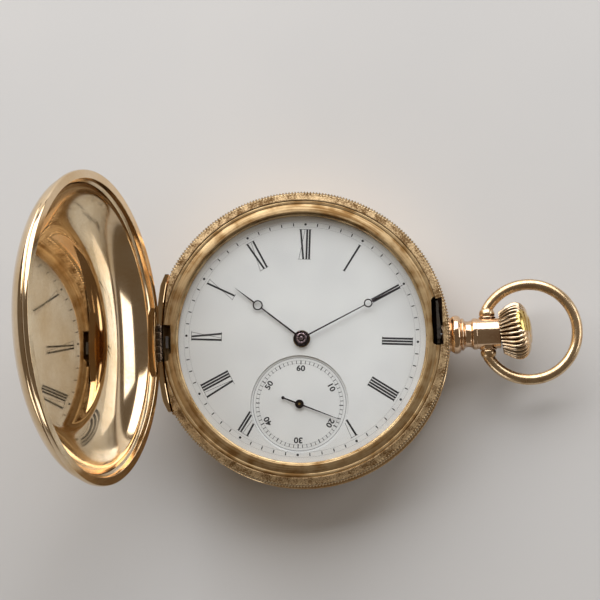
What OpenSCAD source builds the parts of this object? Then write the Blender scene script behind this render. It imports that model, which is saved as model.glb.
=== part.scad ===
// Full hunter pocket watch, key wound and key set, lying on its back.
// +Z goes up through the dial, +X to the pendant, +Y to the 12 o'clock side.
// The origin is the middle of the flat on the back cover. Millimetres.

/* [Case] */
// Distance from the main plate to the reeded edge of the case
case_wall = 4.8; // [4.7:0.05:5.4]
// Height of the back cover below the case middle
back_h = 3; // [2.9:0.1:4]
// Height of the front lid above the rim
lid_h = 7.4; // [6.8:0.1:8]
// Thickness of the sheet of both covers
sheet_t = 0.6; // [0.5:0.05:0.75]
// Width of the satin rim that the lid shuts on
rim_w = 1.5; // [1.3:0.05:1.7]
// Number of reeds round the edge
reeds = 300; // [240:2:330]
// Depth of a reed
reed_d = 0.18; // [0.1:0.01:0.25]
// Height of the reeded band
reed_h = 1.1; // [0.8:0.05:1.4]
// Angle at which the front lid stands open
lid_open = 105; // [95:1:110]

/* [Movement] */
// Space between dust cover and bridges, for the ratchet work
ratchet_room = 0.8; // [0.75:0.05:1.2]
// Thickness of the bridges
bridge_t = 0.8; // [0.7:0.05:1]
// Space between bridges and main plate
train_room = 2.1; // [2.1:0.05:2.6]
// Thickness of the main plate
plate_t = 1.2; // [1.1:0.05:1.5]
// Space under the dial, for the motion work
motion_room = 1; // [1:0.05:1.3]
// Radius of the main plate below its flange
plate_r = 22.2; // [22:0.05:22.4]
// Module of the barrel and centre wheel teeth
slow_module = 0.19; // [0.185:0.001:0.192]
// Module of the third wheel teeth
third_module = 0.16; // [0.157:0.001:0.161]
// Module of the fourth wheel teeth
fourth_module = 0.125; // [0.122:0.001:0.126]
// Module of the minute wheel and cannon pinion
minute_module = 0.2; // [0.19:0.005:0.21]
// Radius of the balance rim
balance_r = 7; // [6.6:0.1:7.1]
// Radius of the escape wheel
escape_r = 3.4; // [3.2:0.05:3.5]
// Turns of the hairspring
hair_turns = 7; // [5:1:8]
// Turns of the mainspring
main_turns = 6; // [4:1:7]

/* [Dial and hands] */
// Thickness of the enamel dial
dial_t = 0.6; // [0.5:0.05:0.8]
// Radius of the sunk seconds dial
sunk_r = 8.85; // [8.4:0.05:9]
// Distance of the seconds dial from the middle
seconds_off = 11.9; // [11.85:0.01:11.95]
// Turn of the dial and movement in the case, clockwise
dial_turn = 3.7; // [0:0.1:5]
// Length of the hour hand
hour_len = 15.3; // [13:0.1:16]
// Length of the minute hand
minute_len = 21.15; // [18:0.05:21.4]
// Length of the seconds hand
second_len = 7.8; // [6:0.1:8.2]
// Distance of the ring on the hour hand from the middle
hour_ring_at = 10.1; // [8:0.1:12]
// Radius of the ring on the hour hand
hour_ring_r = 0.92; // [0.8:0.02:1.1]
// Distance of the ring on the minute hand from the middle
minute_ring_at = 13.7; // [12:0.1:16]
// Radius of the ring on the minute hand
minute_ring_r = 0.79; // [0.7:0.02:0.95]
// Dial angle of the hour hand, clockwise from 12
hour_at = 305.7; // [0:0.1:360]
// Dial angle of the minute hand, clockwise from 12
minute_at = 60.6; // [0:0.1:360]
// Dial angle of the seconds hand, clockwise from 12
second_at = 109.2; // [0:0.1:360]
// Room between dial and rim for hands and crystal
glass_room = 2.1; // [2.1:0.05:2.6]
// Thickness of the crystal
crystal_t = 0.75; // [0.6:0.05:0.8]

/* [Pendant and bow] */
// Radius of the pendant sleeve
sleeve_r = 2.875; // [2.8:0.025:3]
// Length of the pendant sleeve
sleeve_l = 4.8; // [4.6:0.1:5.4]
// Radius of the pendant's largest collar
collar_r = 3.35; // [3.2:0.05:3.5]
// Radius of the bow at the middle of its wire
bow_r = 8.75; // [8.6:0.05:9.4]
// Thickness of the bow's wire
bow_wire = 1.9; // [1.7:0.05:2.1]
// Largest radius of the crown
crown_r = 5.25; // [5:0.05:5.5]
// Length of the crown
crown_l = 5.7; // [5.4:0.1:6]
// Number of flutes on the crown
flutes = 36; // [30:2:40]
// Travel of the crown when it is pressed
crown_travel = 0.6; // [0.4:0.05:0.7]
// Lean of the crown on its worn stem
crown_lean = 5; // [0:0.5:6]

/* [Hidden] */
gold = "#c9a35a";
rose = "#d3a07c";
steel = "#8d9096";
blued = "#3a3450";
brass = "#c8b070";
$fn = 96;
eps = 0.02; // overlap of cuts past a face
slip = 0.03; // running clearance at pins and pivots
joint_gap = 0.05; // gap between a shut cover and the case

// Heights, from the back up
back_top = back_h; // under face of the case middle
dust_t = 0.5;
dust_lo = back_top + 0.2;
dust_hi = dust_lo + dust_t;
bridge_lo = dust_hi + ratchet_room;
bridge_hi = bridge_lo + bridge_t;
plate_lo = bridge_hi + train_room;
ledge_z = plate_lo + plate_t / 2;
plate_hi = plate_lo + plate_t;
dial_lo = plate_hi + motion_room;
dial_hi = dial_lo + dial_t;
rim_z = dial_hi + glass_room;
pend_z = (back_top + rim_z) / 2;
back_z = back_top - joint_gap; // upper face of the shut back cover

// Radii of the case
case_r = plate_r + case_wall; // over the reeded edge
rim_in = case_r - rim_w - 0.2; // wall that the bezel fits in
bezel_r = rim_in - 0.15;
bore_r = rim_in - 1; // wall above the movement ledge
body_r = plate_r + 0.7; // bore below the ledge
flange_r = bore_r - 0.4; // flange of the main plate
waist_r = case_r - 1.1; // narrowest part of the band
cover_r = case_r - 0.1; // edge of both covers
cover_in = rim_in + 0.1; // inner wall of both covers

// Hinges at the side away from the pendant
hinge_x = case_r - 1.05;
knuckle_r = 0.75;
pin_r = 0.39;
knuckle_w = 1.3;
knuckles = 5;
hinge_w = knuckles * knuckle_w;
gallery_r = 54.7; // flat arc of the hinge gallery
gallery_t = 1.1;
gallery_h = 3;
gallery_w = 25.2;
gallery_out = case_r - 0.5;
hinge_reach = 7.4; // half length of the lid's edge that swings past the pin
relief_h = 0.3; // the wall stands lower there
seat_r = 38; // arc of the crescent seat inside a cover
seat_in = 1.85; // depth of that seat from the pin
seat_w = 22.6;
seat_h = 1.3;
shoulder_r = cover_r - 0.6; // where the domed part starts, above the lip
shoulder_z = 1.5;
lip_h = 1.25; // depth of a cover at its lip
lid_flat = 12; // radius of the lid's nearly flat middle
lid_sag = 0.14; // how far its inside falls from the middle to there
lid_slope = 1.15; // 1 makes its side a quarter ellipse, more makes it straighter
back_flat = 15; // radius of the flat that the watch lies on
crease_r = 0.77 * cover_in; // soft crease inside the back
dust_hinge_x = bore_r - 0.8;
dust_knuckle_r = 0.4;
dust_pin_r = 0.2;
dust_knuckle_w = 1.6;
dust_edge = 0.6; // straight edge of the dust cover, in from its pin

// Catch slot and lock spring; the slot lies a little off the pendant's axis
slot_y0 = -2.2;
slot_y1 = 6.4;
slot_in = bezel_r - 1.15;
catch_x = slot_in + 0.6; // inner face of the lock spring's head
catch_t = 0.5;
catch_z = rim_z + 0.45; // under face of the nose, in the lid's mouth
catch_h = 0.25;
catch_arc = 14; // angle at which the lock spring's strip ends
catch_out = cover_in - 0.1;
spring_h = 2;
spring_z = bridge_lo + 0.3;
spring_out = bore_r - 0.1;
spring_t = 0.6;
lock_screw_at = -72; // angle of the lock spring's screw
lift_screw_at = 118; // angle of the lift spring's screw
spring_screw_r = 0.5;
notch_w = 6.8; // notch in the bezel at the hinge

// Pendant, in distances from the case axis
collar_x = case_r + 0.1;
collar_w = 1.8;
ring_w = 0.7;
neck_w = 1.8;
sleeve_x = collar_x + collar_w + ring_w + neck_w;
sleeve_end = sleeve_x + sleeve_l;
stem_r = 0.8;
spigot_r = 2; // end of the pendant inside the case wall
stem_tip = catch_x + catch_t + 0.2;
pivot_x = sleeve_x + sleeve_l / 2;
boss_r = 1.55;
boss_y = sleeve_r + 0.2;
stud_r = 0.55;
bow_ball = 1.2;
foot_y = boss_y + joint_gap + bow_ball + 0.02;
bow_x = pivot_x + sqrt(bow_r * bow_r - foot_y * foot_y);
foot_a = atan2(foot_y, pivot_x - bow_x);
crown_gap = 0.1;
crown_x = sleeve_end + crown_gap;
crown_rear_r = crown_r * 0.76;
crown_recess_r = sleeve_r + 0.45;
crown_recess = crown_travel + crown_gap + 0.9;
flute_d = 0.28;
crown_around = flutes * 3;
dome_h = 0.6;

// Wheel train, on the movement's own axes
barrel_n = 96;
centre_n = 80;
centre_p = 12;
third_n = 75;
fourth_n = 80;
pinion_n = 10;
escape_p = 8;
centre_d = (barrel_n + centre_p) / 2 * slow_module;
third_d = (centre_n + pinion_n) / 2 * slow_module;
fourth_d = (third_n + pinion_n) / 2 * third_module;
escape_d = (fourth_n + escape_p) / 2 * fourth_module;
barrel_a = 55;
barrel_c = centre_d * [cos(barrel_a), sin(barrel_a)];
fourth_c = [0, -seconds_off];
third_y = -(seconds_off * seconds_off + third_d * third_d - fourth_d * fourth_d) / (2 * seconds_off);
third_c = [sqrt(third_d * third_d - third_y * third_y), third_y];
escape_a = 200;
escape_c = fourth_c + escape_d * [cos(escape_a), sin(escape_a)];
pallet_a = 150;
pallet_d = 4.35;
pallet_c = escape_c + pallet_d * [cos(pallet_a), sin(pallet_a)];
fork_a = 120;
fork_d = 4.9;
balance_c = pallet_c + fork_d * [cos(fork_a), sin(fork_a)];
motion_a = 150;
motion_d = 4.8;
motion_c = motion_d * [cos(motion_a), sin(motion_a)];
pallet_foot = pallet_c + [-1.66, -3];
foot_turn = atan2(pallet_foot[1] - pallet_c[1], pallet_foot[0] - pallet_c[0]);
sink_r = 5.6; // room for the fork in the main plate
hour_module = 2 * motion_d / 50 * 0.985;

// Levels of the train
barrel_lo = bridge_hi + 0.15;
barrel_hi = plate_lo - 0.4;
centre_z = plate_lo - 0.3;
fourth_z = plate_lo - 1;
third_z = bridge_hi + 0.4;
escape_z = plate_lo - 0.4;
balance_z = bridge_hi + 0.2;
wheel_t = 0.2;
escape_t = 0.25;
arm_w = 0.7;
pivot_r = 0.12;
arbor_r = 0.3;
jewel_r = 0.55;
cock_lo = bridge_lo;
cock_hi = bridge_hi - 0.3;
pallet_cock_lo = plate_lo - 1.05;
roller_z = plate_lo - 0.62;
fork_z = plate_lo - 0.3;
sink_d = 0.3; // depth of the sinks in the main plate
hair_z = cock_hi + 0.08;
hair_h = 0.3;
hair_t = 0.08;
hair_r0 = 0.72;
hair_r1 = 3.3;
stud_at = 200;
regulator_t = 0.27;
foot_in = plate_r - 2.4;
bridge_r = plate_r - 0.8;
square_w = 1.5;
setting_w = 1.1;
key_end = dust_hi + 0.05;
ratchet_r = 3.9;
ratchet_n = 30;
ratchet_t = 0.45;
ratchet_z = bridge_lo - ratchet_t - 0.05;
click_a = 75;
click_d = 5.9;
click_c = barrel_c + click_d * [cos(click_a), sin(click_a)];
barrel_wall = 0.5;
barrel_r = barrel_n * slow_module / 2 - 0.25;
hub_r = 1.4;

// Hands and centre stack
arbor_hole = 0.42;
setting_r = 0.39;
centre_r = 0.72;
cannon_r = 0.75;
hour_tube_r = 1.22;
cannon_z = plate_hi + 0.15;
leaf_h = 0.35;
hour_wheel_z = cannon_z + leaf_h + 0.08;
second_z = dial_hi + 0.06;
hour_z = dial_hi + 0.35;
minute_z = hour_z + 0.45;
hand_t = 0.18;
second_t = 0.15;
hand_hub_r = 1.45;
hour_w = 0.75; // widths of the hands at the middle
minute_w = 0.6;
crystal_r = bezel_r - 1.85;
crystal_z = rim_z - 1;
crystal_rise = 1.15;

// Screws
screw_r = 0.75;
shank_r = 0.4;
case_screw_at = [20, 196];
case_screw_d = plate_r - 0.25;
case_head_r = 1.3;
dial_feet_at = [60, 160, 280]; // angles of the dial's feet
dial_foot_d = flange_r - 2.5;
cock_at = 172; // direction of the balance cock's foot
cock_foot = around(18.6, cock_at);
cock_screw = around(19.3, cock_at);
cock_w = 4;
cock_a = atan2(cock_foot[1] - balance_c[1], cock_foot[0] - balance_c[0]);
rim_screws = [88, 40, 358.5, 110, 302, 333, 258]; // angles of the screws along the bridges' edge
bridge_screw_places = concat([for (a = rim_screws) around(bridge_r - screw_r - 0.25, a)],
    [cock_screw, pallet_foot]);
pallet_screw = len(bridge_screw_places) - 1;
function around(r, a) = [r * cos(a), r * sin(a)];

// A ring about Z
module ring(r_out, r_in, z0, z1) {
    difference() {
        translate([0, 0, z0]) cylinder(r = r_out, h = z1 - z0);
        translate([0, 0, z0 - eps]) cylinder(r = r_in, h = z1 - z0 + 2 * eps);
    }
}

// A disc between two heights
module disc(r, z0, z1) translate([0, 0, z0]) cylinder(r = r, h = z1 - z0);

// A place on the movement, turned as the dial is
module on_movement(c = [0, 0]) rotate([0, 0, -dial_turn]) translate([c[0], c[1], 0]) children();

// A rod along Y, centred
module rod_y(r, w) rotate([90, 0, 0]) translate([0, 0, -w / 2]) cylinder(r = r, h = w, $fn = 48);

// A toothed outline: tooth half widths are shares of the pitch
function tooth_points(n, r, add, ded, tip, root) = [
    for (i = [0:n - 1]) for (k = [[-root, -ded], [-tip, add], [tip, add], [root, -ded]])
        let (a = (i + k[0]) * 360 / n, q = r + k[1]) [q * cos(a), q * sin(a)]];

module wheel_teeth(n, m, h) linear_extrude(h) polygon(tooth_points(n, n * m / 2, 0.75 * m, 1.05 * m, 0.09,
    0.22));
module pinion_leaves(n, m, h) linear_extrude(h) polygon(tooth_points(n, n * m / 2, 0.6 * m, 1.15 * m, 0.07,
    0.18));

// Turn that puts a tooth of one wheel in a gap of its mate; toward is the angle from the wheel to its mate
function mesh_turn(toward, n, turn, mate_n) =
    toward + 180 - (0.5 - (toward - turn) * n / 360) * 360 / mate_n;

third_turn = 0;
centre_to_third = atan2(third_c[1], third_c[0]);
third_to_fourth = atan2(fourth_c[1] - third_c[1], fourth_c[0] - third_c[0]);
third_pinion_turn = mesh_turn(centre_to_third, centre_n, 0, pinion_n);
fourth_pinion_turn = mesh_turn(third_to_fourth, third_n, third_turn, pinion_n);
escape_pinion_turn = mesh_turn(escape_a, fourth_n, 0, escape_p);
centre_pinion_turn = mesh_turn(barrel_a + 180, barrel_n, 0, centre_p);
minute_turn = mesh_turn(motion_a, centre_p, 0, 36);
hour_turn = mesh_turn(motion_a + 180, pinion_n, 0, 40);

// A spoked wheel with its hub
module train_wheel(n, m, h, hub, arms = 4) {
    r_in = n * m / 2 - 1.15 * m - 0.7;
    difference() {
        wheel_teeth(n, m, h);
        translate([0, 0, -eps]) cylinder(r = r_in, h = h + 2 * eps);
    }
    cylinder(r = hub, h = h);
    for (i = [0:arms - 1]) rotate([0, 0, i * 360 / arms + 20])
        translate([0, -arm_w / 2, 0]) cube([r_in + 0.3, arm_w, h]);
}

// An arbor with a thinner pivot at both ends
module arbor(r, z0, z1, p0, p1) {
    disc(r, z0, z1, $fn = 32);
    translate([0, 0, p0]) cylinder(r = pivot_r, h = p1 - p0, $fn = 24);
}

// A cheese head screw about its own axis, head down
module screw(head_r, head_h, body_r, body_l) {
    difference() {
        cylinder(r = head_r, h = head_h, $fn = 32);
        translate([-head_r - eps, -0.11, -eps]) cube([2 * head_r + 2 * eps, 0.22, head_h * 0.4]);
    }
    translate([0, 0, head_h - eps]) cylinder(r = body_r, h = body_l, $fn = 32);
}

// Case

// Band of the case, turned: reeded rims and a hollow waist
module case_outline() {
    low = back_top;
    waist = [for (i = [0:10]) let (t = i / 10)
        [waist_r + (case_r - 0.5 - waist_r) * pow(abs(2 * t - 1), 2.2),
         low + 1.3 + t * (rim_z - low - 1.2 - reed_h - 0.15)]];
    rotate_extrude($fn = 128) polygon(concat(
        [[body_r, dust_hi + 0.05], [bore_r, dust_hi + 0.05], [bore_r, low + 0.1], [rim_in, low + 0.1],
         [rim_in, low], [case_r - 0.15, low], [case_r, low + 0.2], [case_r, low + 0.9],
             [case_r - 0.15, low + 1.1],
         [case_r - 0.5, low + 1.2]], waist,
        [[case_r - 0.6, rim_z - reed_h], [case_r - 0.6, rim_z], [rim_in, rim_z], [rim_in, rim_z - 1.7],
         [bore_r, rim_z - 1.7], [bore_r, ledge_z], [body_r, ledge_z]]));
}

module reeded_band() difference() {
    translate([0, 0, rim_z - reed_h]) linear_extrude(reed_h - 0.06) polygon(
        [for (i = [0:2 * reeds - 1]) let (r = case_r - (i % 2) * reed_d, a = i * 180 / reeds)
            [r * cos(a), r * sin(a)]]);
    translate([0, 0, rim_z - reed_h - eps]) cylinder(r = case_r - 0.9, h = reed_h + 2 * eps, $fn = 128);
}

// Space outside a flat arc, where the gallery replaces the round rim
module outside_gallery(z0, z1) difference() {
    translate([-gallery_out - 3, -gallery_w / 2, z0]) cube([gallery_out - rim_in + 6.8, gallery_w, z1 - z0]);
    translate([gallery_r - gallery_out, 0, z0 - eps])
        cylinder(r = gallery_r, h = z1 - z0 + 2 * eps, $fn = 256);
}

// Part of the wall along the flat arc, between two depths from its face
module gallery_band(from, to, z0, z1) intersection() {
    translate([gallery_r - gallery_out, 0, 0]) ring(gallery_r - from, gallery_r - to, z0, z1, $fn = 256);
    translate([-case_r - 2, -gallery_w / 2, z0]) cube([6, gallery_w, z1 - z0]);
}

// Room beside the knuckles for the edge of the cover, which swings past the pin
module hinge_relief() translate([-hinge_x - 3, -hinge_reach, rim_z - relief_h])
    cube([3.3, 2 * hinge_reach, relief_h + 0.1]);

// Crescent wall that carries one hinge; its ends stand a little past the case
module gallery() intersection() {
    difference() {
        gallery_band(0, gallery_t, rim_z - gallery_h, rim_z);
        hinge_relief();
    }
    translate([0, 0, rim_z - gallery_h]) cylinder(r = case_r + 0.6, h = gallery_h + 1, $fn = 128);
}

// Knuckles along Y; part 0 is the case's, part 1 the cover's
module hinge_knuckles(r, w, part, count) for (i = [0:count - 1]) if (i % 2 == part)
    translate([0, (i - (count - 1) / 2) * w, 0]) rod_y(r, w - 0.06);
module knuckle_pockets(r, w, part, count) for (i = [0:count - 1]) if (i % 2 == part)
    translate([0, (i - (count - 1) / 2) * w, 0]) rod_y(r, w + 0.06);

// The upper hinge as it lies on the case, mirrored for the back
module both_hinges() {
    children();
    translate([0, 0, back_top + rim_z]) mirror([0, 0, 1]) children();
}
module at_lid_hinge() translate([-hinge_x, 0, rim_z + joint_gap / 2]) children();

module spring_channel() ring(bore_r, body_r - eps, spring_z - 0.2, plate_lo);

module case_middle() color(gold) difference() {
    union() {
        difference() {
            union() { case_outline(); reeded_band(); }
            both_hinges() {
                outside_gallery(rim_z - gallery_h, rim_z + 1);
                gallery_band(gallery_t, gallery_t + 0.3, rim_z - 1.6, rim_z + 1);
                hinge_relief();
            }
        }
        both_hinges() {
            gallery();
            at_lid_hinge() hinge_knuckles(knuckle_r, knuckle_w, 0, knuckles);
        }
        translate([-dust_hinge_x, 0, dust_lo + dust_t / 2])
            hinge_knuckles(dust_knuckle_r, dust_knuckle_w, 0, 3);
    }
    both_hinges() at_lid_hinge() {
        rod_y(pin_r, hinge_w + 1);
        knuckle_pockets(knuckle_r + 0.15, knuckle_w, 1, knuckles);
    }
    translate([-dust_hinge_x, 0, dust_lo + dust_t / 2]) {
        rod_y(dust_pin_r, 3 * dust_knuckle_w + 0.4);
        knuckle_pockets(dust_knuckle_r + 0.12, dust_knuckle_w, 1, 3);
    }
    spring_channel();
    // slot for the catch, through both ledges
    translate([slot_in - 0.6, slot_y0, spring_z])
        cube([rim_in + 0.72 - slot_in, slot_y1 - slot_y0, rim_z]);
    // notch for the tip of the lift spring
    translate([-rim_in - 0.1, -notch_w / 2, spring_z]) cube([rim_in + 0.1 - slot_in, notch_w, rim_z]);
    // seat of the pendant and bore of the stem
    translate([body_r - 1, 0, pend_z]) rotate([0, 90, 0]) cylinder(r = spigot_r + 0.02, h = case_r);
    for (a = [lock_screw_at, lift_screw_at]) rotate([0, 0, a])
        translate([body_r, 0, spring_z + spring_h / 2]) rotate([0, 90, 0])
            cylinder(r = spring_screw_r, h = waist_r - 0.3 - body_r, $fn = 32);
}

// Front lid and back cover

// Side of a cover from its flat middle [r0, z0] down to its lip [r1, z1]; p and q set how full it is
function flank(r0, z0, r1, z1, p, q) = [for (i = [0:16]) let (a = i * 90 / 16)
    [r0 + (r1 - r0) * pow(sin(a), p), z1 + (z0 - z1) * pow(cos(a), q)]];

// Inside of the lid, a nearly flat floor inside a sloping side
lid_inner = let (side = flank(lid_flat, lid_h - sheet_t - lid_sag, cover_in - 0.5, lip_h, lid_slope, lid_slope))
    concat([for (i = [16:-1:0]) side[i]], [for (k = [0.67, 0.33, 0]) [k * lid_flat, lid_h - sheet_t - k * k * lid_sag]]);
lid_outer = concat([[0, lid_h]], flank(lid_flat, lid_h, shoulder_r, shoulder_z, lid_slope, lid_slope));

// Inside of the back, a shallow dish out to a soft crease and then a cove down to the lip
function back_dish(r) = let (mid = back_z - sheet_t, crease_z = 0.82 * mid) r > crease_r
    ? lip_h + (crease_z - lip_h) * (1 - pow((r - crease_r) / (cover_in - 0.5 - crease_r), 2))
    : crease_z + (mid - crease_z) * (1 - pow(r / crease_r, 2));
back_inner = [for (i = [0:16]) let (r = (cover_in - 0.5) * (1 - i / 16)) [r, back_dish(r)]];
back_outer = concat([[0, back_z]], flank(back_flat, back_z, shoulder_r, shoulder_z, 0.8, 0.62));

// Half section of a cover, open side down at z = 0
function cover_section(inner, outer) = concat([[cover_in, 0], [cover_in, 0.95], [cover_in - 0.3, 1.15]],
    inner, outer, [[shoulder_r, 1.35], [cover_r - 0.75, 1.2], [cover_r - 0.6, 1.05], [cover_r - 0.12, 0.92],
    [cover_r, 0.7], [cover_r, 0.2], [cover_r - 0.08, 0]]);

module cover_shell(inner, outer) difference() {
    union() {
        rotate_extrude($fn = 128) polygon(cover_section(inner, outer));
        // crescent seat inside the hinge side
        intersection() {
            disc(cover_in + 0.3, 0, seat_h, $fn = 128);
            translate([-case_r, -seat_w / 2, 0]) cube([case_r - hinge_x + 2 * seat_in, seat_w, seat_h]);
            translate([seat_in - hinge_x - seat_r, 0, 0]) cylinder(r = seat_r, h = seat_h, $fn = 256);
        }
        translate([-hinge_x, 0, -joint_gap / 2]) hinge_knuckles(knuckle_r, knuckle_w, 1, knuckles);
    }
    difference() {
        translate([-case_r - 1, -hinge_reach, -0.1]) cube([case_r + 1 - hinge_x, 2 * hinge_reach, 1.3]);
        translate([-hinge_x, 0, -joint_gap / 2]) hinge_knuckles(knuckle_r + eps, knuckle_w, 1, knuckles);
    }
    translate([-hinge_x, 0, -joint_gap / 2]) {
        rod_y(pin_r + slip, hinge_w + 1);
        knuckle_pockets(knuckle_r + 0.15, knuckle_w, 0, knuckles);
    }
}

module at_open_lid() translate([-hinge_x, 0, rim_z + joint_gap / 2]) rotate([0, -lid_open, 0])
    translate([hinge_x, 0, joint_gap / 2]) children();

module front_lid() color(gold) at_open_lid() difference() {
    cover_shell(lid_inner, lid_outer);
    // mouth that the catch snaps into
    translate([cover_in - 0.2, slot_y0, 0.35]) cube([0.55, slot_y1 - slot_y0, 0.5]);
}

module back_cover() color(gold) translate([0, 0, back_z]) mirror([0, 0, 1])
    cover_shell(back_inner, back_outer);

module lid_hinge_pin() color(steel) at_lid_hinge() rod_y(pin_r, hinge_w + 0.4);
module back_hinge_pin() color(steel) translate([-hinge_x, 0, back_top - joint_gap / 2])
    rod_y(pin_r, hinge_w + 0.4);

module dust_cover() color(gold) difference() {
    union() {
        difference() {
            disc(bore_r - 0.12, dust_lo, dust_hi);
            translate([-bore_r - 1, -bore_r, dust_lo - eps])
                cube([bore_r + 1 - dust_hinge_x + dust_edge, 2 * bore_r, dust_t + 2 * eps]);
        }
        translate([-dust_hinge_x, 0, dust_lo + dust_t / 2])
            hinge_knuckles(dust_knuckle_r, dust_knuckle_w, 1, 3);
        translate([-dust_hinge_x, -dust_knuckle_w / 2 + 0.03, dust_lo])
            cube([dust_edge + 0.3, dust_knuckle_w - 0.06, dust_t]);
    }
    translate([-dust_hinge_x, 0, dust_lo + dust_t / 2]) {
        rod_y(dust_pin_r + slip, 3 * dust_knuckle_w);
        knuckle_pockets(dust_knuckle_r + 0.12, dust_knuckle_w, 0, 3);
    }
    on_movement() disc(setting_w + 0.5, dust_lo - eps, dust_hi + eps);
    on_movement(barrel_c) disc(square_w + 0.5, dust_lo - eps, dust_hi + eps);
}

module dust_cover_pin() color(steel) translate([-dust_hinge_x, 0, dust_lo + dust_t / 2])
    rod_y(dust_pin_r - 0.01, 3 * dust_knuckle_w);

// Bezel and crystal

module bezel() color(gold) difference() {
    rotate_extrude($fn = 128) polygon([[crystal_r - 0.75, dial_hi + 0.12],
        [crystal_r - 0.75, crystal_z - 0.12],
        [crystal_r - 0.5, crystal_z], [crystal_r + 0.03, crystal_z], [crystal_r + 0.03, crystal_z + 0.85],
        [crystal_r - 0.35, rim_z - 0.08], [crystal_r - 0.2, rim_z + 0.02], [crystal_r + 0.3, rim_z + 0.04],
        [crystal_r + 0.7, rim_z - 0.1], [bezel_r - 0.2, rim_z - 0.42], [bezel_r, rim_z - 0.55],
        [bezel_r, rim_z - 1.7], [bore_r - 0.1, rim_z - 1.7], [bore_r - 0.1, dial_hi + 0.12]]);
    translate([slot_in, slot_y0, dial_lo]) cube([4, slot_y1 - slot_y0, 4]);
    translate([-slot_in - 4, -notch_w / 2, dial_lo]) cube([4, notch_w, 4]);
}

// Crystal: a shallow cap with a flat edge for its groove
function cap_z(r, rise) = rise * (1 - pow(r / (crystal_r - 0.4), 2));
module crystal() color("#e8f0f4", 0.3) translate([0, 0, crystal_z + 0.02])
    rotate_extrude($fn = 128) polygon(concat(
    [[crystal_r, 0], [crystal_r, crystal_t]],
    [for (i = [0:12]) let (r = (crystal_r - 0.4) * (1 - i / 12)) [r, crystal_t + cap_z(r, crystal_rise)]],
    [for (i = [12:-1:0]) let (r = (crystal_r - 0.4) * (1 - i / 12)) [r, cap_z(r, crystal_rise)]]));

// Pendant, bow and crown

module turned_x(points, fn = 64) translate([0, 0, pend_z]) rotate([0, 90, 0])
    rotate_extrude($fn = fn) polygon(points);

module pendant() color(rose) difference() {
    union() {
        difference() {
            turned_x([[0, case_r - 1.8], [collar_r - 0.1, case_r - 1.8], [collar_r - 0.05, collar_x],
                [collar_r + 0.05, collar_x + 0.3], [collar_r + 0.05, collar_x + 0.9],
                    [collar_r - 0.2, collar_x + 1.5],
                [collar_r - 0.6, collar_x + collar_w - 0.06], [collar_r - 0.45, collar_x + collar_w],
                [collar_r - 0.3, collar_x + collar_w + 0.2], [collar_r - 0.3, collar_x + collar_w + 0.5],
                [collar_r - 0.55, collar_x + collar_w + ring_w], [sleeve_r - 0.45, sleeve_x - neck_w + 0.2],
                [sleeve_r - 0.55, sleeve_x - 1.3], [sleeve_r - 0.35, sleeve_x - 1.15],
                    [sleeve_r - 0.35, sleeve_x - 0.8],
                [sleeve_r - 0.5, sleeve_x - 0.6], [sleeve_r - 0.3, sleeve_x - 0.1],
                    [sleeve_r - 0.05, sleeve_x],
                [sleeve_r, sleeve_x + 0.12], [sleeve_r, sleeve_x + 0.4], [sleeve_r - 0.08, sleeve_x + 0.5],
                [sleeve_r - 0.08, sleeve_end - 0.1], [sleeve_r - 0.2, sleeve_end], [0, sleeve_end]]);
            case_clearance();
        }
        turned_x([[0, rim_in + 0.2], [spigot_r, rim_in + 0.2], [spigot_r, case_r + 0.5], [0, case_r + 0.5]]);
        for (s = [-1, 1]) translate([pivot_x, 0, pend_z]) rotate([-90 * s, 0, 0]) {
            cylinder(r = boss_r, h = boss_y - 0.15);
            cylinder(r = boss_r - 0.15, h = boss_y);
        }
    }
    turned_x([[0, case_r - 4], [stem_r + 0.05, case_r - 4], [stem_r + 0.05, sleeve_x + 0.4],
        [sleeve_r - 0.7, sleeve_x + 0.8],
        [sleeve_r - 0.7, sleeve_end + 1], [0, sleeve_end + 1]]);
    translate([pivot_x, 0, pend_z]) rod_y(stud_r + slip, 4 * sleeve_r);
}

// The band of the case grown by a hair, which the pendant's foot is cut to
module case_clearance() {
    disc(waist_r + 0.02, back_top, rim_z, $fn = 128);
    grow = 0.02;
    waist = [for (i = [0:10]) let (t = i / 10)
        [waist_r + grow + (case_r - 0.5 - waist_r) * pow(abs(2 * t - 1), 2.2),
         back_top + 1.3 + t * (rim_z - back_top - 1.2 - reed_h - 0.15)]];
    rotate_extrude($fn = 128) polygon(concat([[20, back_top], [case_r + grow, back_top],
        [case_r + grow, back_top + 1.2], [case_r - 0.5 + grow, back_top + 1.2]], waist,
        [[case_r + grow, rim_z - reed_h - grow], [case_r + grow, rim_z], [20, rim_z]]));
}

module bow() color(gold) translate([0, 0, pend_z]) {
    translate([bow_x, 0, 0]) rotate([0, 0, -foot_a]) rotate_extrude(angle = 2 * foot_a, $fn = 128)
        translate([bow_r, 0]) circle(r = bow_wire / 2, $fn = 40);
    for (s = [-1, 1]) {
        translate([pivot_x, s * foot_y, 0]) sphere(r = bow_ball, $fn = 48);
        translate([pivot_x, 0, 0]) rotate([-90 * s, 0, 0]) translate([0, 0, sleeve_r - 0.65])
            cylinder(r = stud_r, h = foot_y - sleeve_r + 0.65, $fn = 32);
    }
}

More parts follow.
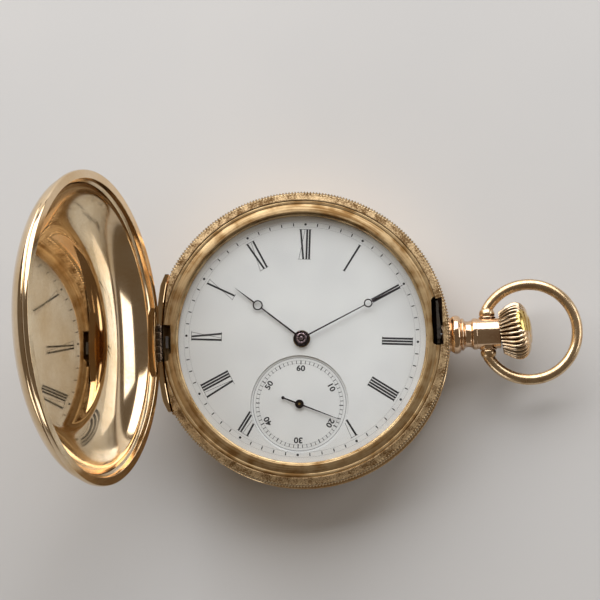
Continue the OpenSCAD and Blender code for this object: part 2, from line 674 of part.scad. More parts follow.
// Onion crown, one closed surface from the floor of its bore to its domed end.
// Each ring is [distance along the axis, radius, depth of the flutes].
function crown_radius(t) = crown_rear_r + (crown_r - crown_rear_r) * pow(sin(min(t / 0.62, 1) * 90), 0.9)
    - 0.42 * crown_r * pow(max(t - 0.62, 0) / 0.38, 2);
crown_rings = concat(
    [[crown_recess + 1, stem_r, 0], [crown_recess, stem_r, 0], [crown_recess, crown_recess_r, 0],
     [0, crown_recess_r, 0]],
    [for (k = [0:9]) let (t = k / 9)
        [t * (crown_l - dome_h), crown_radius(t), flute_d * pow(sin(min(0.15 + t, 1) * 165), 0.6)]],
    [for (k = [1:3]) [crown_l - dome_h * cos(k * 25) * cos(k * 25), crown_r * 0.5 * cos(k * 25), 0]]);
module crown_body() {
    points = concat([[crown_recess + 1, 0, 0]],
        [for (q = crown_rings) for (j = [0:crown_around - 1])
            let (a = j * 360 / crown_around, r = q[1] - (j % 3 == 0 ? q[2] : 0))
                [q[0], r * cos(a), r * sin(a)]],
        [[crown_l, 0, 0]]);
    n = len(crown_rings);
    last = len(points) - 1;
    polyhedron(points, concat(
        [for (j = [0:crown_around - 1]) [0, 1 + (j + 1) % crown_around, 1 + j]],
        [for (k = [0:n - 2]) for (j = [0:crown_around - 1])
            let (a = 1 + k * crown_around + j, b = 1 + k * crown_around + (j + 1) % crown_around)
            each [[a, b, b + crown_around], [a, b + crown_around, a + crown_around]]],
        [for (j = [0:crown_around - 1]) let (k = 1 + (n - 1) * crown_around)
            [last, k + j, k + (j + 1) % crown_around]]));
}

module at_crown() translate([crown_x, 0, pend_z]) rotate([0, -crown_lean, crown_lean]) children();

module push_crown() color(gold) at_crown() crown_body();

module push_stem() color(steel) {
    translate([0, 0, pend_z]) rotate([0, 90, 0]) {
        translate([0, 0, stem_tip]) cylinder(r = stem_r - 0.1, h = crown_x + crown_recess - 0.3 - stem_tip,
            $fn = 40);
        translate([0, 0, sleeve_x + 1 + crown_travel]) cylinder(r = 1.5, h = 0.5, $fn = 40);
    }
    // end that the crown is held on, leaning with it
    at_crown() rotate([0, 90, 0]) translate([0, 0, crown_recess - 0.5])
        cylinder(r = stem_r - 0.1, h = 1.4, $fn = 40);
}

// Case springs

module arc_band(r_out, r_in, z0, h, a0, a1) translate([0, 0, z0]) rotate([0, 0, a0])
    rotate_extrude(angle = a1 - a0, $fn = 128) translate([r_in, 0]) square([r_out - r_in, h]);

// Block that joins a spring's strip to its head, between two depths along X
module spring_shoulder(x1, y0, y1) intersection() {
    ring(case_r, spring_out - spring_t, spring_z + 0.1, spring_z + spring_h - 0.1);
    translate([slot_in - 2, y0, spring_z]) cube([x1 - slot_in + 2, y1 - y0, spring_h]);
}

module lock_spring() color(steel) difference() {
    union() {
        arc_band(spring_out - 0.2, spring_out - 0.2 - spring_t, spring_z, spring_h, lock_screw_at - 3,
            catch_arc);
        spring_shoulder(catch_x + catch_t, slot_y0 + 0.4, slot_y1 - 0.6);
        // head, rising through the slot, with a step at its lower end
        translate([catch_x, slot_y0 + 0.4, spring_z]) difference() {
            cube([catch_t, slot_y1 - slot_y0 - 1, rim_z - 0.1 - spring_z]);
            translate([-1, -1, pend_z - spring_z + 3]) cube([3, 1.6, rim_z]);
        }
        // nose, rounded to the lid's inner wall
        intersection() {
            disc(catch_out, rim_z - 0.3, catch_z + catch_h, $fn = 128);
            union() {
                translate([catch_x, slot_y0 + 1, rim_z - 0.3])
                    cube([catch_t, slot_y1 - slot_y0 - 2.2, catch_z + catch_h - rim_z + 0.3]);
                translate([catch_x, slot_y0 + 1, catch_z]) cube([2, slot_y1 - slot_y0 - 2.2, catch_h]);
            }
        }
    }
    rotate([0, 0, lock_screw_at]) translate([body_r, 0, spring_z + spring_h / 2]) rotate([0, 90, 0])
        cylinder(r = spring_screw_r + slip, h = 3, $fn = 32);
}

module lift_spring() color(steel) difference() {
    union() {
        arc_band(spring_out - 0.2, spring_out - 0.2 - spring_t, spring_z, spring_h, lift_screw_at - 3, 181);
        translate([-slot_in - 0.7, -1, spring_z]) cube([0.5, 2.2, rim_z - 0.15 - spring_z]);
        mirror([1, 0, 0]) spring_shoulder(slot_in + 0.7, -1, 1.2);
    }
    rotate([0, 0, lift_screw_at]) translate([body_r, 0, spring_z + spring_h / 2]) rotate([0, 90, 0])
        cylinder(r = spring_screw_r + slip, h = 3, $fn = 32);
}

module case_spring_screws() color(steel) for (a = [lock_screw_at, lift_screw_at])
    rotate([0, 0, a]) translate([spring_out - 0.2 - spring_t - 0.45, 0, spring_z + spring_h / 2])
        rotate([0, 90, 0]) screw(0.8, 0.4, spring_screw_r - 0.02, waist_r - spring_out + spring_t - 0.2);

// Dial and hands

module dial() color("#e9e7de") on_movement() difference() {
    union() {
        ring(flange_r - 0.3, hour_tube_r + 0.35, dial_lo, dial_hi);
        for (a = dial_feet_at) rotate([0, 0, a]) translate([dial_foot_d, 0, 0])
            disc(0.45, ledge_z, dial_lo + eps, $fn = 24);
    }
    translate([fourth_c[0], fourth_c[1], 0]) disc(sunk_r + 0.03, dial_lo - eps, dial_hi + eps);
}

module seconds_dial() color("#e9e7de") on_movement(fourth_c) ring(sunk_r, 0.45, dial_lo, dial_hi - 0.3);

// A hand with an open ring along it, pointing to 12
module ring_hand(length, ring_at, ring_r, width) {
    difference() {
        union() {
            linear_extrude(hand_t) polygon([[-width / 2, 0], [width / 2, 0], [width * 0.4, ring_at],
                [-width * 0.4, ring_at]]);
            linear_extrude(hand_t) polygon([[-width * 0.6, ring_at + ring_r * 0.6],
                [width * 0.6, ring_at + ring_r * 0.6],
                [width * 0.12, length], [-width * 0.12, length]]);
            translate([0, ring_at, 0]) cylinder(r = ring_r, h = hand_t, $fn = 48);
        }
        translate([0, ring_at, -eps]) cylinder(r = ring_r * 0.6, h = hand_t + 2 * eps, $fn = 48);
    }
}

module hour_hand() color(blued) on_movement() translate([0, 0, hour_z]) difference() {
    union() {
        rotate([0, 0, -hour_at]) ring_hand(hour_len, hour_ring_at, hour_ring_r, hour_w);
        cylinder(r = hand_hub_r, h = hand_t);
    }
    translate([0, 0, -eps]) cylinder(r = hour_tube_r, h = hand_t + 2 * eps);
}

module minute_hand() color(blued) on_movement() translate([0, 0, minute_z]) difference() {
    union() {
        rotate([0, 0, -minute_at]) ring_hand(minute_len, minute_ring_at, minute_ring_r, minute_w);
        cylinder(r = hand_hub_r * 0.86, h = hand_t);
    }
    translate([0, 0, -eps]) cylinder(r = cannon_r, h = hand_t + 2 * eps, $fn = 48);
}

module seconds_hand() color(blued) on_movement(fourth_c) translate([0, 0, second_z]) difference() {
    union() {
        rotate([0, 0, -second_at]) linear_extrude(second_t) polygon([[-0.14, -3.1], [0.14, -3.1], [0.16, 0],
            [0.05, second_len], [-0.05, second_len], [-0.16, 0]]);
        rotate([0, 0, -second_at]) translate([0, -3.2, 0]) cylinder(r = 0.3, h = second_t, $fn = 24);
        cylinder(r = 0.8, h = second_t, $fn = 48);
    }
    translate([0, 0, -eps]) cylinder(r = 0.2, h = second_t + 2 * eps, $fn = 32);
}

// Plate and bridges

// Holes that pass the arbors, in movement places
module pivot_holes(z0, z1) {
    for (c = [third_c, escape_c, pallet_c, balance_c]) translate([c[0], c[1], 0])
        disc(jewel_r, z0, z1, $fn = 32);
}

// Sinks for the escape wheel and the fork
module sunk_slab() difference() {
    disc(plate_r, plate_lo, ledge_z);
    translate([escape_c[0], escape_c[1], 0]) disc(escape_r + 0.4, plate_lo - eps, plate_lo + sink_d);
    translate([pallet_c[0], pallet_c[1], 0]) disc(sink_r, plate_lo - eps, plate_lo + sink_d);
}

module main_plate() color(brass) on_movement() difference() {
    union() {
        sunk_slab();
        disc(flange_r, ledge_z, plate_hi);
        ring(flange_r, flange_r - 0.8, plate_hi, dial_lo);
        translate([motion_c[0], motion_c[1], 0]) disc(0.4, plate_hi - eps, dial_lo - 0.08, $fn = 24);
    }
    pivot_holes(plate_lo - eps, plate_hi + eps);
    disc(centre_r + slip, plate_lo - eps, plate_hi + eps);
    translate([fourth_c[0], fourth_c[1], 0]) disc(arbor_r + 0.05, plate_lo - eps, plate_hi + eps, $fn = 32);
    translate([barrel_c[0], barrel_c[1], 0]) disc(0.9 + slip, plate_lo - eps, plate_hi + eps);
    for (a = dial_feet_at) rotate([0, 0, a]) translate([dial_foot_d, 0, 0])
        disc(0.5, ledge_z - 0.1, plate_hi + eps, $fn = 24);
    for (p = bridge_screw_places) translate([p[0], p[1], 0])
        disc(shank_r, plate_lo - eps, plate_hi - 0.2, $fn = 24);
    for (a = case_screw_at) rotate([0, 0, a]) translate([case_screw_d, 0, 0])
        disc(shank_r, plate_lo - eps, plate_hi - 0.2, $fn = 24);
}

// Room left round the two screws that hold the movement in its case
module case_screw_room() for (a = case_screw_at) rotate([0, 0, a]) translate([case_screw_d, 0, 0])
    disc(case_head_r + 0.25, bridge_lo - eps, plate_lo + eps, $fn = 48);

module bridge_slab(z0, z1) intersection() {
    rotate_extrude() polygon([[0, z0], [bridge_r, z0], [bridge_r, plate_lo], [foot_in, plate_lo],
        [foot_in, z1],
        [0, z1]]);
    children();
}

module bridge_screw_holes(z0, z1) for (p = bridge_screw_places) translate([p[0], p[1], 0]) {
    disc(shank_r + 0.04, z0, z1, $fn = 24);
    disc(screw_r + 0.05, z0, z0 + 0.4, $fn = 32);
}

module barrel_bridge() color(brass) on_movement() difference() {
    bridge_slab(bridge_lo, bridge_hi) union() {
        translate([-3.5, -2, 0]) cube([30, 30, 20]);
        translate([-30, 7.5, 0]) cube([30, 30, 20]);
    }
    case_screw_room();
    bridge_screw_holes(bridge_lo - eps, plate_lo + eps);
    disc(centre_r + slip, bridge_lo - eps, bridge_hi + eps);
    translate([barrel_c[0], barrel_c[1], 0]) disc(1.2 + slip, bridge_lo - eps, bridge_hi + eps);
    translate([click_c[0], click_c[1], 0]) disc(0.46, bridge_lo - eps, bridge_hi - 0.15, $fn = 32);
}

module train_bridge() color(brass) on_movement() difference() {
    bridge_slab(bridge_lo, bridge_hi) translate([-7.5, -32.3, 0]) cube([40, 30, 20]);
    case_screw_room();
    bridge_screw_holes(bridge_lo - eps, plate_lo + eps);
    translate([balance_c[0], balance_c[1], 0]) disc(balance_r + 0.55, bridge_lo - eps, plate_lo + eps);
    pivot_holes(bridge_lo - eps, bridge_hi + eps);
    translate([fourth_c[0], fourth_c[1], 0]) disc(jewel_r, bridge_lo - eps, bridge_hi + eps, $fn = 32);
}

module pallet_cock() color(brass) on_movement() difference() {
    union() {
        translate([pallet_c[0], pallet_c[1], pallet_cock_lo]) cylinder(r = 1.1, h = 0.4);
        translate([pallet_c[0], pallet_c[1], pallet_cock_lo]) rotate([0, 0, foot_turn])
            translate([0, -0.9, 0])
            cube([norm(pallet_foot - pallet_c), 1.8, 0.4]);
        translate([pallet_foot[0], pallet_foot[1], 0]) disc(1.1, pallet_cock_lo, plate_lo + 0.3);
    }
    translate([pallet_c[0], pallet_c[1], 0]) disc(jewel_r, pallet_cock_lo - eps, plate_lo, $fn = 32);
    translate([pallet_foot[0], pallet_foot[1], 0]) {
        disc(shank_r + 0.04, pallet_cock_lo - eps, plate_lo + 1, $fn = 24);
        disc(screw_r + 0.05, pallet_cock_lo - eps, pallet_cock_lo + 0.42, $fn = 32);
    }
}

module balance_cock() color(brass) on_movement() difference() {
    union() {
        translate([balance_c[0], balance_c[1], cock_lo]) cylinder(r = hair_r1 + 0.4, h = cock_hi - cock_lo);
        translate([balance_c[0], balance_c[1], cock_lo]) rotate([0, 0, cock_a]) translate([0, -cock_w / 2, 0])
            cube([norm(cock_foot - balance_c), cock_w, cock_hi - cock_lo]);
        intersection() {
            disc(bridge_r, cock_lo, plate_lo);
            translate([cock_foot[0], cock_foot[1], cock_lo]) cylinder(r = 2.6, h = plate_lo - cock_lo);
        }
    }
    translate([balance_c[0], balance_c[1], 0]) disc(jewel_r, cock_lo - eps, cock_hi + eps, $fn = 32);
    translate([balance_c[0], balance_c[1], 0]) rotate([0, 0, stud_at]) translate([hair_r1 + 0.15, 0, 0])
        disc(0.2, cock_lo - eps, cock_hi + eps, $fn = 24);
    translate([cock_screw[0], cock_screw[1], 0]) {
        disc(shank_r + 0.04, cock_lo - eps, plate_lo + eps, $fn = 24);
        disc(screw_r + 0.05, cock_lo - eps, cock_lo + 0.37, $fn = 32);
    }
}

// Index that lengthens or shortens the hairspring
module regulator() color(steel) on_movement(balance_c)
    translate([0, 0, cock_lo - regulator_t - 0.05]) difference() {
    union() {
        cylinder(r = 1.5, h = regulator_t);
        rotate([0, 0, cock_a + 10]) translate([0, -0.2, 0]) cube([5.2, 0.4, regulator_t]);
        rotate([0, 0, cock_a + 180]) translate([0, -0.3, 0]) cube([2.9, 0.6, regulator_t]);
    }
    translate([0, 0, -eps]) cylinder(r = jewel_r + 0.05, h = 1, $fn = 32);
}

// Spiral strip from r0 to r1
function spiral_points(r0, r1, turns, t, steps = 28) = let (n = ceil(turns * steps)) concat(
    [for (i = [0:n]) let (a = i * 360 / steps, r = r0 + (r1 - r0) * i / n - t / 2) [r * cos(a), r * sin(a)]],
    [for (i = [n:-1:0]) let (a = i * 360 / steps, r = r0 + (r1 - r0) * i / n + t / 2)
        [r * cos(a), r * sin(a)]]);

module hairspring() color(blued) on_movement(balance_c) rotate([0, 0, stud_at]) translate([0, 0, hair_z])
    linear_extrude(hair_h) polygon(spiral_points(hair_r0, hair_r1, hair_turns, hair_t));

module hairspring_stud() color(steel) on_movement(balance_c) rotate([0, 0, stud_at])
    translate([hair_r1 + 0.15, 0, 0]) {
        disc(0.19, cock_lo + 0.05, hair_z, $fn = 24);
        translate([-0.07, -0.2, hair_z]) cube([0.25, 0.4, hair_h]);
    }

// Balance

module balance_wheel() color(brass) on_movement(balance_c) {
    ring(balance_r - 0.45, balance_r - 1.1, balance_z, balance_z + 0.6);
    for (a = [25, 205]) rotate([0, 0, a]) translate([0, -0.4, balance_z + 0.05])
        cube([balance_r - 1, 0.8, 0.3]);
    disc(0.62, hair_z, balance_z + 0.5, $fn = 40);
    arbor(0.35, hair_z, plate_lo - 0.1, cock_lo + 0.1, plate_lo + 0.75);
}

module balance_screws() color(gold) on_movement(balance_c) for (i = [0:13]) rotate([0, 0, i * 360 / 14 + 12])
    translate([balance_r - 0.45 + 0.01, 0, balance_z + 0.3]) rotate([0, 90, 0])
        cylinder(r = 0.25, h = 0.4, $fn = 16);

module roller_table() color(steel) on_movement(balance_c) difference() {
    union() {
        disc(1.2, roller_z, roller_z + 0.22, $fn = 48);
        rotate([0, 0, fork_a + 180]) translate([0.9, 0, 0]) disc(0.16, roller_z, roller_z + 0.55, $fn = 16);
    }
    disc(0.36, roller_z - eps, roller_z + 1, $fn = 32);
}

// Lever escapement

module pallet_fork() color(steel) on_movement(pallet_c) {
    arbor(0.3, pallet_cock_lo + 0.45, plate_lo + 0.28, pallet_cock_lo + 0.05, plate_lo + 0.75);
    translate([0, 0, fork_z]) {
        cylinder(r = 0.6, h = 0.25, $fn = 32);
        rotate([0, 0, fork_a]) difference() {
            union() {
                translate([0, -0.25, 0]) cube([fork_d - 1.6, 0.5, 0.25]);
                translate([fork_d - 1.8, -0.65, 0]) cube([0.68, 1.3, 0.25]);
            }
            translate([fork_d - 1.5, -0.24, -eps]) cube([1, 0.48, 0.5]);
        }
        for (s = [-1, 1]) rotate([0, 0, pallet_a + 180 + s * 70]) translate([0, -0.2, 0])
            cube([2.2, 0.4, 0.25]);
    }
}

module pallet_stones() color("#b03050") on_movement(pallet_c) translate([0, 0, fork_z + 0.02])
    for (s = [-1, 1]) rotate([0, 0, pallet_a + 180 + s * 70])
        translate([1.75, s > 0 ? -0.41 : 0.2, 0]) cube([0.4, 0.21, 0.2]);

// Club teeth, one ray of points for each
module escape_wheel() color(steel) on_movement(escape_c) {
    translate([0, 0, escape_z]) {
        difference() {
            linear_extrude(escape_t) polygon([for (i = [0:14]) for (k = [[0, 0.76], [7, 0.8], [3.2, 0.96],
                [4.4, 1],
                [7.4, 0.97], [11, 0.8]]) let (a = i * 24 + k[0], r = escape_r * k[1])
                    [r * cos(a), r * sin(a)]]);
            translate([0, 0, -eps]) cylinder(r = escape_r * 0.62, h = 1);
        }
        for (i = [0:3]) rotate([0, 0, i * 90]) translate([0, -0.2, 0]) cube([escape_r * 0.66, 0.4, escape_t]);
        cylinder(r = 0.5, h = escape_t, $fn = 32);
    }
    arbor(arbor_r, bridge_hi + 0.1, plate_lo + 0.28, bridge_lo + 0.15, plate_lo + 0.75);
    rotate([0, 0, escape_pinion_turn]) translate([0, 0, fourth_z - 0.25])
        pinion_leaves(escape_p, fourth_module, 0.7);
}

// Going train

module fourth_wheel() color(brass) on_movement(fourth_c) {
    translate([0, 0, fourth_z]) train_wheel(fourth_n, fourth_module, wheel_t, 0.6);
    rotate([0, 0, fourth_pinion_turn])
        translate([0, 0, third_z - 0.2]) pinion_leaves(pinion_n, third_module, 0.7);
    arbor(arbor_r, bridge_hi + 0.1, plate_lo - 0.1, bridge_lo + 0.15, plate_lo);
    disc(0.19, plate_lo - 0.2, second_z + second_t + 0.05, $fn = 32);
}

module third_wheel() color(brass) on_movement(third_c) {
    translate([0, 0, third_z]) rotate([0, 0, third_turn]) train_wheel(third_n, third_module, wheel_t, 0.6);
    rotate([0, 0, third_pinion_turn])
        translate([0, 0, centre_z - 0.3]) pinion_leaves(pinion_n, slow_module, 0.55);
    arbor(arbor_r, bridge_hi + 0.1, plate_lo - 0.05, bridge_lo + 0.15, plate_lo + 0.75);
}

module centre_wheel() color(brass) on_movement() difference() {
    union() {
        translate([0, 0, centre_z]) train_wheel(centre_n, slow_module, wheel_t, 1.1);
        rotate([0, 0, centre_pinion_turn])
            translate([0, 0, barrel_lo]) pinion_leaves(centre_p, slow_module, 1.1);
        disc(centre_r, bridge_lo + 0.1, plate_hi, $fn = 48);
    }
    disc(arbor_hole, 0, 20, $fn = 40);
}

module barrel() color(brass) on_movement(barrel_c) difference() {
    union() {
        translate([0, 0, barrel_lo + 0.3]) wheel_teeth(barrel_n, slow_module, 0.35);
        disc(barrel_r - 0.3, barrel_lo, barrel_hi);
    }
    disc(barrel_r - 0.3 - barrel_wall, barrel_lo + 0.3, barrel_hi + eps);
    disc(0.9 + slip, barrel_lo - eps, barrel_hi, $fn = 48);
}

module barrel_lid() color(brass) on_movement(barrel_c)
    ring(barrel_r - 0.32 - barrel_wall, 0.9 + slip, barrel_hi - 0.25, barrel_hi);

module mainspring() color(steel) on_movement(barrel_c) translate([0, 0, barrel_lo + 0.35])
    linear_extrude(barrel_hi - barrel_lo - 0.65) polygon(spiral_points(hub_r + 0.35,
        barrel_r - 0.3 - barrel_wall - 0.25, main_turns, 0.18));

module square_end(w, z0, z1) translate([-w / 2, -w / 2, z0]) cube([w, w, z1 - z0]);

module barrel_arbor() color(steel) on_movement(barrel_c) {
    disc(0.9, bridge_hi - 0.05, plate_hi - 0.3, $fn = 48);
    disc(hub_r, barrel_lo + 0.35, barrel_hi - 0.3, $fn = 48);
    disc(1.2, bridge_lo + 0.05, bridge_hi, $fn = 48);
    square_end(square_w, key_end, bridge_lo + 0.1);
}

module ratchet_wheel() color(steel) on_movement(barrel_c) translate([0, 0, ratchet_z]) difference() {
    linear_extrude(ratchet_t) polygon([for (i = [0:ratchet_n - 1]) for (k = [[0, ratchet_r],
        [10, ratchet_r - 0.45]])
        let (a = i * 360 / ratchet_n + k[0]) [k[1] * cos(a), k[1] * sin(a)]]);
    square_end(square_w + 0.02, -eps, ratchet_t + eps);
}

module at_click() on_movement(click_c) rotate([0, 0, click_a - 90]) translate([0, 0, ratchet_z]) children();

module click() color(steel) at_click() difference() {
    union() {
        cylinder(r = 1.05, h = ratchet_t - 0.05);
        linear_extrude(ratchet_t - 0.05) polygon([[-0.6, -0.8], [2.25, -2.6], [2.45, -2.45], [1, 0.5]]);
    }
    translate([0, 0, -eps]) cylinder(r = 0.45 + slip, h = 1, $fn = 32);
}

module click_screw() color(steel) at_click() translate([0, 0, -0.24]) screw(0.8, 0.21, 0.44, ratchet_t + 0.5);

module click_spring() color(steel) at_click() {
    rotate([0, 0, 35]) rotate_extrude(angle = 115, $fn = 64) translate([1.75, 0]) square([0.2, 0.3]);
    rotate([0, 0, 150]) translate([1.85, 0, 0]) cylinder(r = 0.5, h = ratchet_t + 0.05, $fn = 32);
}

// Motion work

module setting_arbor() color(steel) on_movement() {
    disc(setting_r, bridge_lo - 0.1, minute_z + hand_t + 0.12, $fn = 40);
    disc(0.7, bridge_lo - 0.35, bridge_lo - 0.05, $fn = 40);
    square_end(setting_w, key_end, bridge_lo - 0.3);
}

module cannon_pinion() color(steel) on_movement() difference() {
    union() {
        translate([0, 0, cannon_z]) pinion_leaves(centre_p, minute_module, leaf_h);
        disc(cannon_r, cannon_z, minute_z + hand_t + 0.05, $fn = 48);
    }
    disc(setting_r + 0.01, cannon_z - eps, 20, $fn = 40);
}

module minute_wheel() color(brass) on_movement(motion_c) difference() {
    union() {
        translate([0, 0, cannon_z + 0.08]) rotate([0, 0, minute_turn]) wheel_teeth(36, minute_module, 0.2);
        translate([0, 0, cannon_z + 0.2]) pinion_leaves(pinion_n, hour_module, hour_wheel_z - cannon_z);
    }
    disc(0.4 + slip, plate_hi, dial_lo, $fn = 32);
}

module hour_wheel() color(brass) on_movement() difference() {
    union() {
        translate([0, 0, hour_wheel_z]) rotate([0, 0, hour_turn]) wheel_teeth(40, hour_module, 0.2);
        disc(hour_tube_r, hour_wheel_z, hour_z + hand_t + 0.05, $fn = 48);
    }
    disc(cannon_r + slip, hour_wheel_z - eps, 20, $fn = 48);
}

// Jewels and screws

module jewel(c, z0, z1) translate([c[0], c[1], 0]) ring(jewel_r - 0.01, pivot_r + 0.03, z0, z1, $fn = 32);
module jewels() color("#c0405c") on_movement() {
    for (c = [third_c, escape_c]) {
        jewel(c, bridge_lo + 0.1, bridge_hi);
        jewel(c, plate_lo + 0.35, plate_hi - 0.1);
    }
    jewel(fourth_c, bridge_lo + 0.1, bridge_hi);
    jewel(pallet_c, pallet_cock_lo, pallet_cock_lo + 0.4);
    jewel(pallet_c, plate_lo + 0.35, plate_hi - 0.1);
    jewel(balance_c, cock_lo, cock_hi);
    jewel(balance_c, plate_lo + 0.35, plate_hi - 0.1);
}

module bridge_screws() color(steel) on_movement() for (i = [0:len(bridge_screw_places) - 1])
    let (p = bridge_screw_places[i], z = i == pallet_screw ? pallet_cock_lo + 0.05 : bridge_lo)
        translate([p[0], p[1], z]) rotate([0, 0, 37 * i])
            screw(screw_r, 0.35, shank_r - 0.02, plate_hi - 0.7 - z);

module movement_screws() color(steel) on_movement() for (a = case_screw_at) rotate([0, 0, a])
    translate([case_screw_d, 0, plate_lo - 0.4]) screw(case_head_r, 0.4, shank_r - 0.02, 0.7);

case_middle();
back_cover();
front_lid();
bezel();
crystal();
dust_cover();
lid_hinge_pin();
back_hinge_pin();
dust_cover_pin();
pendant();
bow();
push_crown();
push_stem();
lock_spring();
lift_spring();
case_spring_screws();
dial();
seconds_dial();
hour_hand();
minute_hand();
seconds_hand();
main_plate();
barrel_bridge();
train_bridge();
pallet_cock();
balance_cock();
regulator();
hairspring();
hairspring_stud();
balance_wheel();
balance_screws();
roller_table();
pallet_fork();
pallet_stones();
escape_wheel();
fourth_wheel();
third_wheel();
centre_wheel();
barrel();
barrel_lid();
mainspring();
barrel_arbor();
ratchet_wheel();
click();
click_screw();
click_spring();
setting_arbor();
cannon_pinion();
minute_wheel();
hour_wheel();
jewels();
bridge_screws();
movement_screws();
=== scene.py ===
# Full hunter pocket watch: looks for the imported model, in its own frame.
import bmesh
import bpy
import numpy as np
from numpy import arange, array, clip, cos, hypot, linspace, maximum, minimum
from numpy import pi, radians, sin, sqrt, stack, where
from mathutils import Matrix


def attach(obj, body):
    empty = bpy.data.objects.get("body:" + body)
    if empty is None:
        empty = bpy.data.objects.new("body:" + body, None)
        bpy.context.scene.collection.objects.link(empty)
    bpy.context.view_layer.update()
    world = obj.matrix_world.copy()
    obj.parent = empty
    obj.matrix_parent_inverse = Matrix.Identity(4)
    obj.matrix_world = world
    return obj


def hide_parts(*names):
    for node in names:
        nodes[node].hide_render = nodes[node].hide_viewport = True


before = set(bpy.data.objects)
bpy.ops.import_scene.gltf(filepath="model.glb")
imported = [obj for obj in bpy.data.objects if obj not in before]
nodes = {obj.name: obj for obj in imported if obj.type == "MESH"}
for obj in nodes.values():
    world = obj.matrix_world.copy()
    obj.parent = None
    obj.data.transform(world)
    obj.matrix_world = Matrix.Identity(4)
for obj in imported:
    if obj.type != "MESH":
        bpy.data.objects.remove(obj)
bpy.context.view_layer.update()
mm = 0.001
print("frame loaded,", len(nodes), "nodes")

# Places in millimetres, to match the part's source
caseTurn = radians(-3.7)             # the dial and movement sit turned in the case
rimZ = 12.3
backTop = 3.0
dialTop = 10.2
pendantZ = 7.65
hingeX = 25.95
hingeHalf = 7.4                      # half the width that is kept free beside the knuckles
pinLift = 0.025                      # how far a cover's pin stands off the case's rim
lidOpen = 105.0
secondsAt = array([0.0, -11.9])
printLift = 0.012                    # fired print stands this far over the enamel


# Nodes and materials

def linearColour(hexText):
    # sRGB hex text to linear colour: divide by 12.92 below 0.04045, else the 2.4 power curve.
    part = array([int(hexText[i:i + 2], 16) / 255 for i in (1, 3, 5)])
    line = where(part <= 0.04045, part / 12.92, ((part + 0.055) / 1.055) ** 2.4)
    return [float(v) for v in line] + [1.0]


def addNode(tree, kind, settings=None):
    # Adds one node; settings are its properties and its sockets, by name or number. An output is linked.
    node = tree.nodes.new("ShaderNode" + kind)
    for key, value in (settings or {}).items():
        if isinstance(value, bpy.types.NodeSocket):
            tree.links.new(value, node.inputs[key])
        elif isinstance(key, int) or key in node.inputs:
            node.inputs[key].default_value = value
        else:
            setattr(node, key, value)
    return node


def reckon(tree, operation, *values):
    # One Math node on numbers and outputs.
    return addNode(tree, "Math", {"operation": operation, **dict(enumerate(values))}).outputs[0]


def startMaterial(name, colour, settings):
    # An empty tree with a Principled shader, its output and the object's own coordinates.
    material = bpy.data.materials.new(name)
    material.use_nodes = True
    tree = material.node_tree
    tree.nodes.clear()
    shader = addNode(tree, "BsdfPrincipled", {"Base Color": linearColour(colour), **settings})
    addNode(tree, "OutputMaterial", {"Surface": shader.outputs[0]})
    place = addNode(tree, "TexCoord").outputs["Object"]
    return material, tree, shader, place


def noiseOf(tree, place, sizeMm, detail=3.0, stretch=(1, 1, 1)):
    # Noise whose patches are about sizeMm wide, drawn out along an axis by its stretch.
    moved = addNode(tree, "Mapping", {"Scale": [1 / s for s in stretch], "Vector": place}).outputs[0]
    return addNode(tree, "TexNoise", {"Scale": 1 / (sizeMm * mm), "Detail": detail,
                                      "Vector": moved}).outputs["Fac"]


def spread(tree, value, low, high, toLow=0.0, toHigh=1.0):
    # A value stretched from one range to another.
    return addNode(tree, "MapRange", {"Value": value, "From Min": low, "From Max": high, "To Min": toLow,
                                      "To Max": toHigh}).outputs[0]


def blendColour(tree, share, first, second):
    # Mixes two colours; each is hex text or an output.
    first, second = (linearColour(c) if isinstance(c, str) else c for c in (first, second))
    return addNode(tree, "Mix", {"data_type": "RGBA", 0: share, 6: first, 7: second}).outputs[2]


def roundCoordinates(tree, place, radial, around, along):
    # Coordinates for marks that run round the Z axis: radius and height, divided by sizes in mm and added,
    # then the direction x/r and y/r, divided by around. A direction has no seam.
    flat = addNode(tree, "VectorMath", {"operation": "MULTIPLY", 0: place, 1: (1, 1, 0)}).outputs[0]
    radius = addNode(tree, "VectorMath", {"operation": "LENGTH", 0: flat}).outputs["Value"]
    turnWay = addNode(tree, "VectorMath", {"operation": "NORMALIZE", 0: flat}).outputs[0]
    spun = addNode(tree, "VectorMath", {"operation": "SCALE", 0: turnWay, "Scale": 1 / around}).outputs[0]
    parts = addNode(tree, "SeparateXYZ", {0: spun})
    height = addNode(tree, "SeparateXYZ", {0: place}).outputs["Z"]
    both = reckon(tree, "ADD", reckon(tree, "MULTIPLY", radius, 1 / (radial * mm)),
                  reckon(tree, "MULTIPLY", height, 1 / (along * mm)))
    return addNode(tree, "CombineXYZ", {"X": both, "Y": parts.outputs["X"],
                                        "Z": parts.outputs["Y"]}).outputs[0]


def addBump(tree, shader, height, depth):
    # Relief of a given depth in mm.
    bump = addNode(tree, "Bump", {"Strength": 1.0, "Distance": depth * mm, "Height": height})
    tree.links.new(bump.outputs[0], shader.inputs["Normal"])


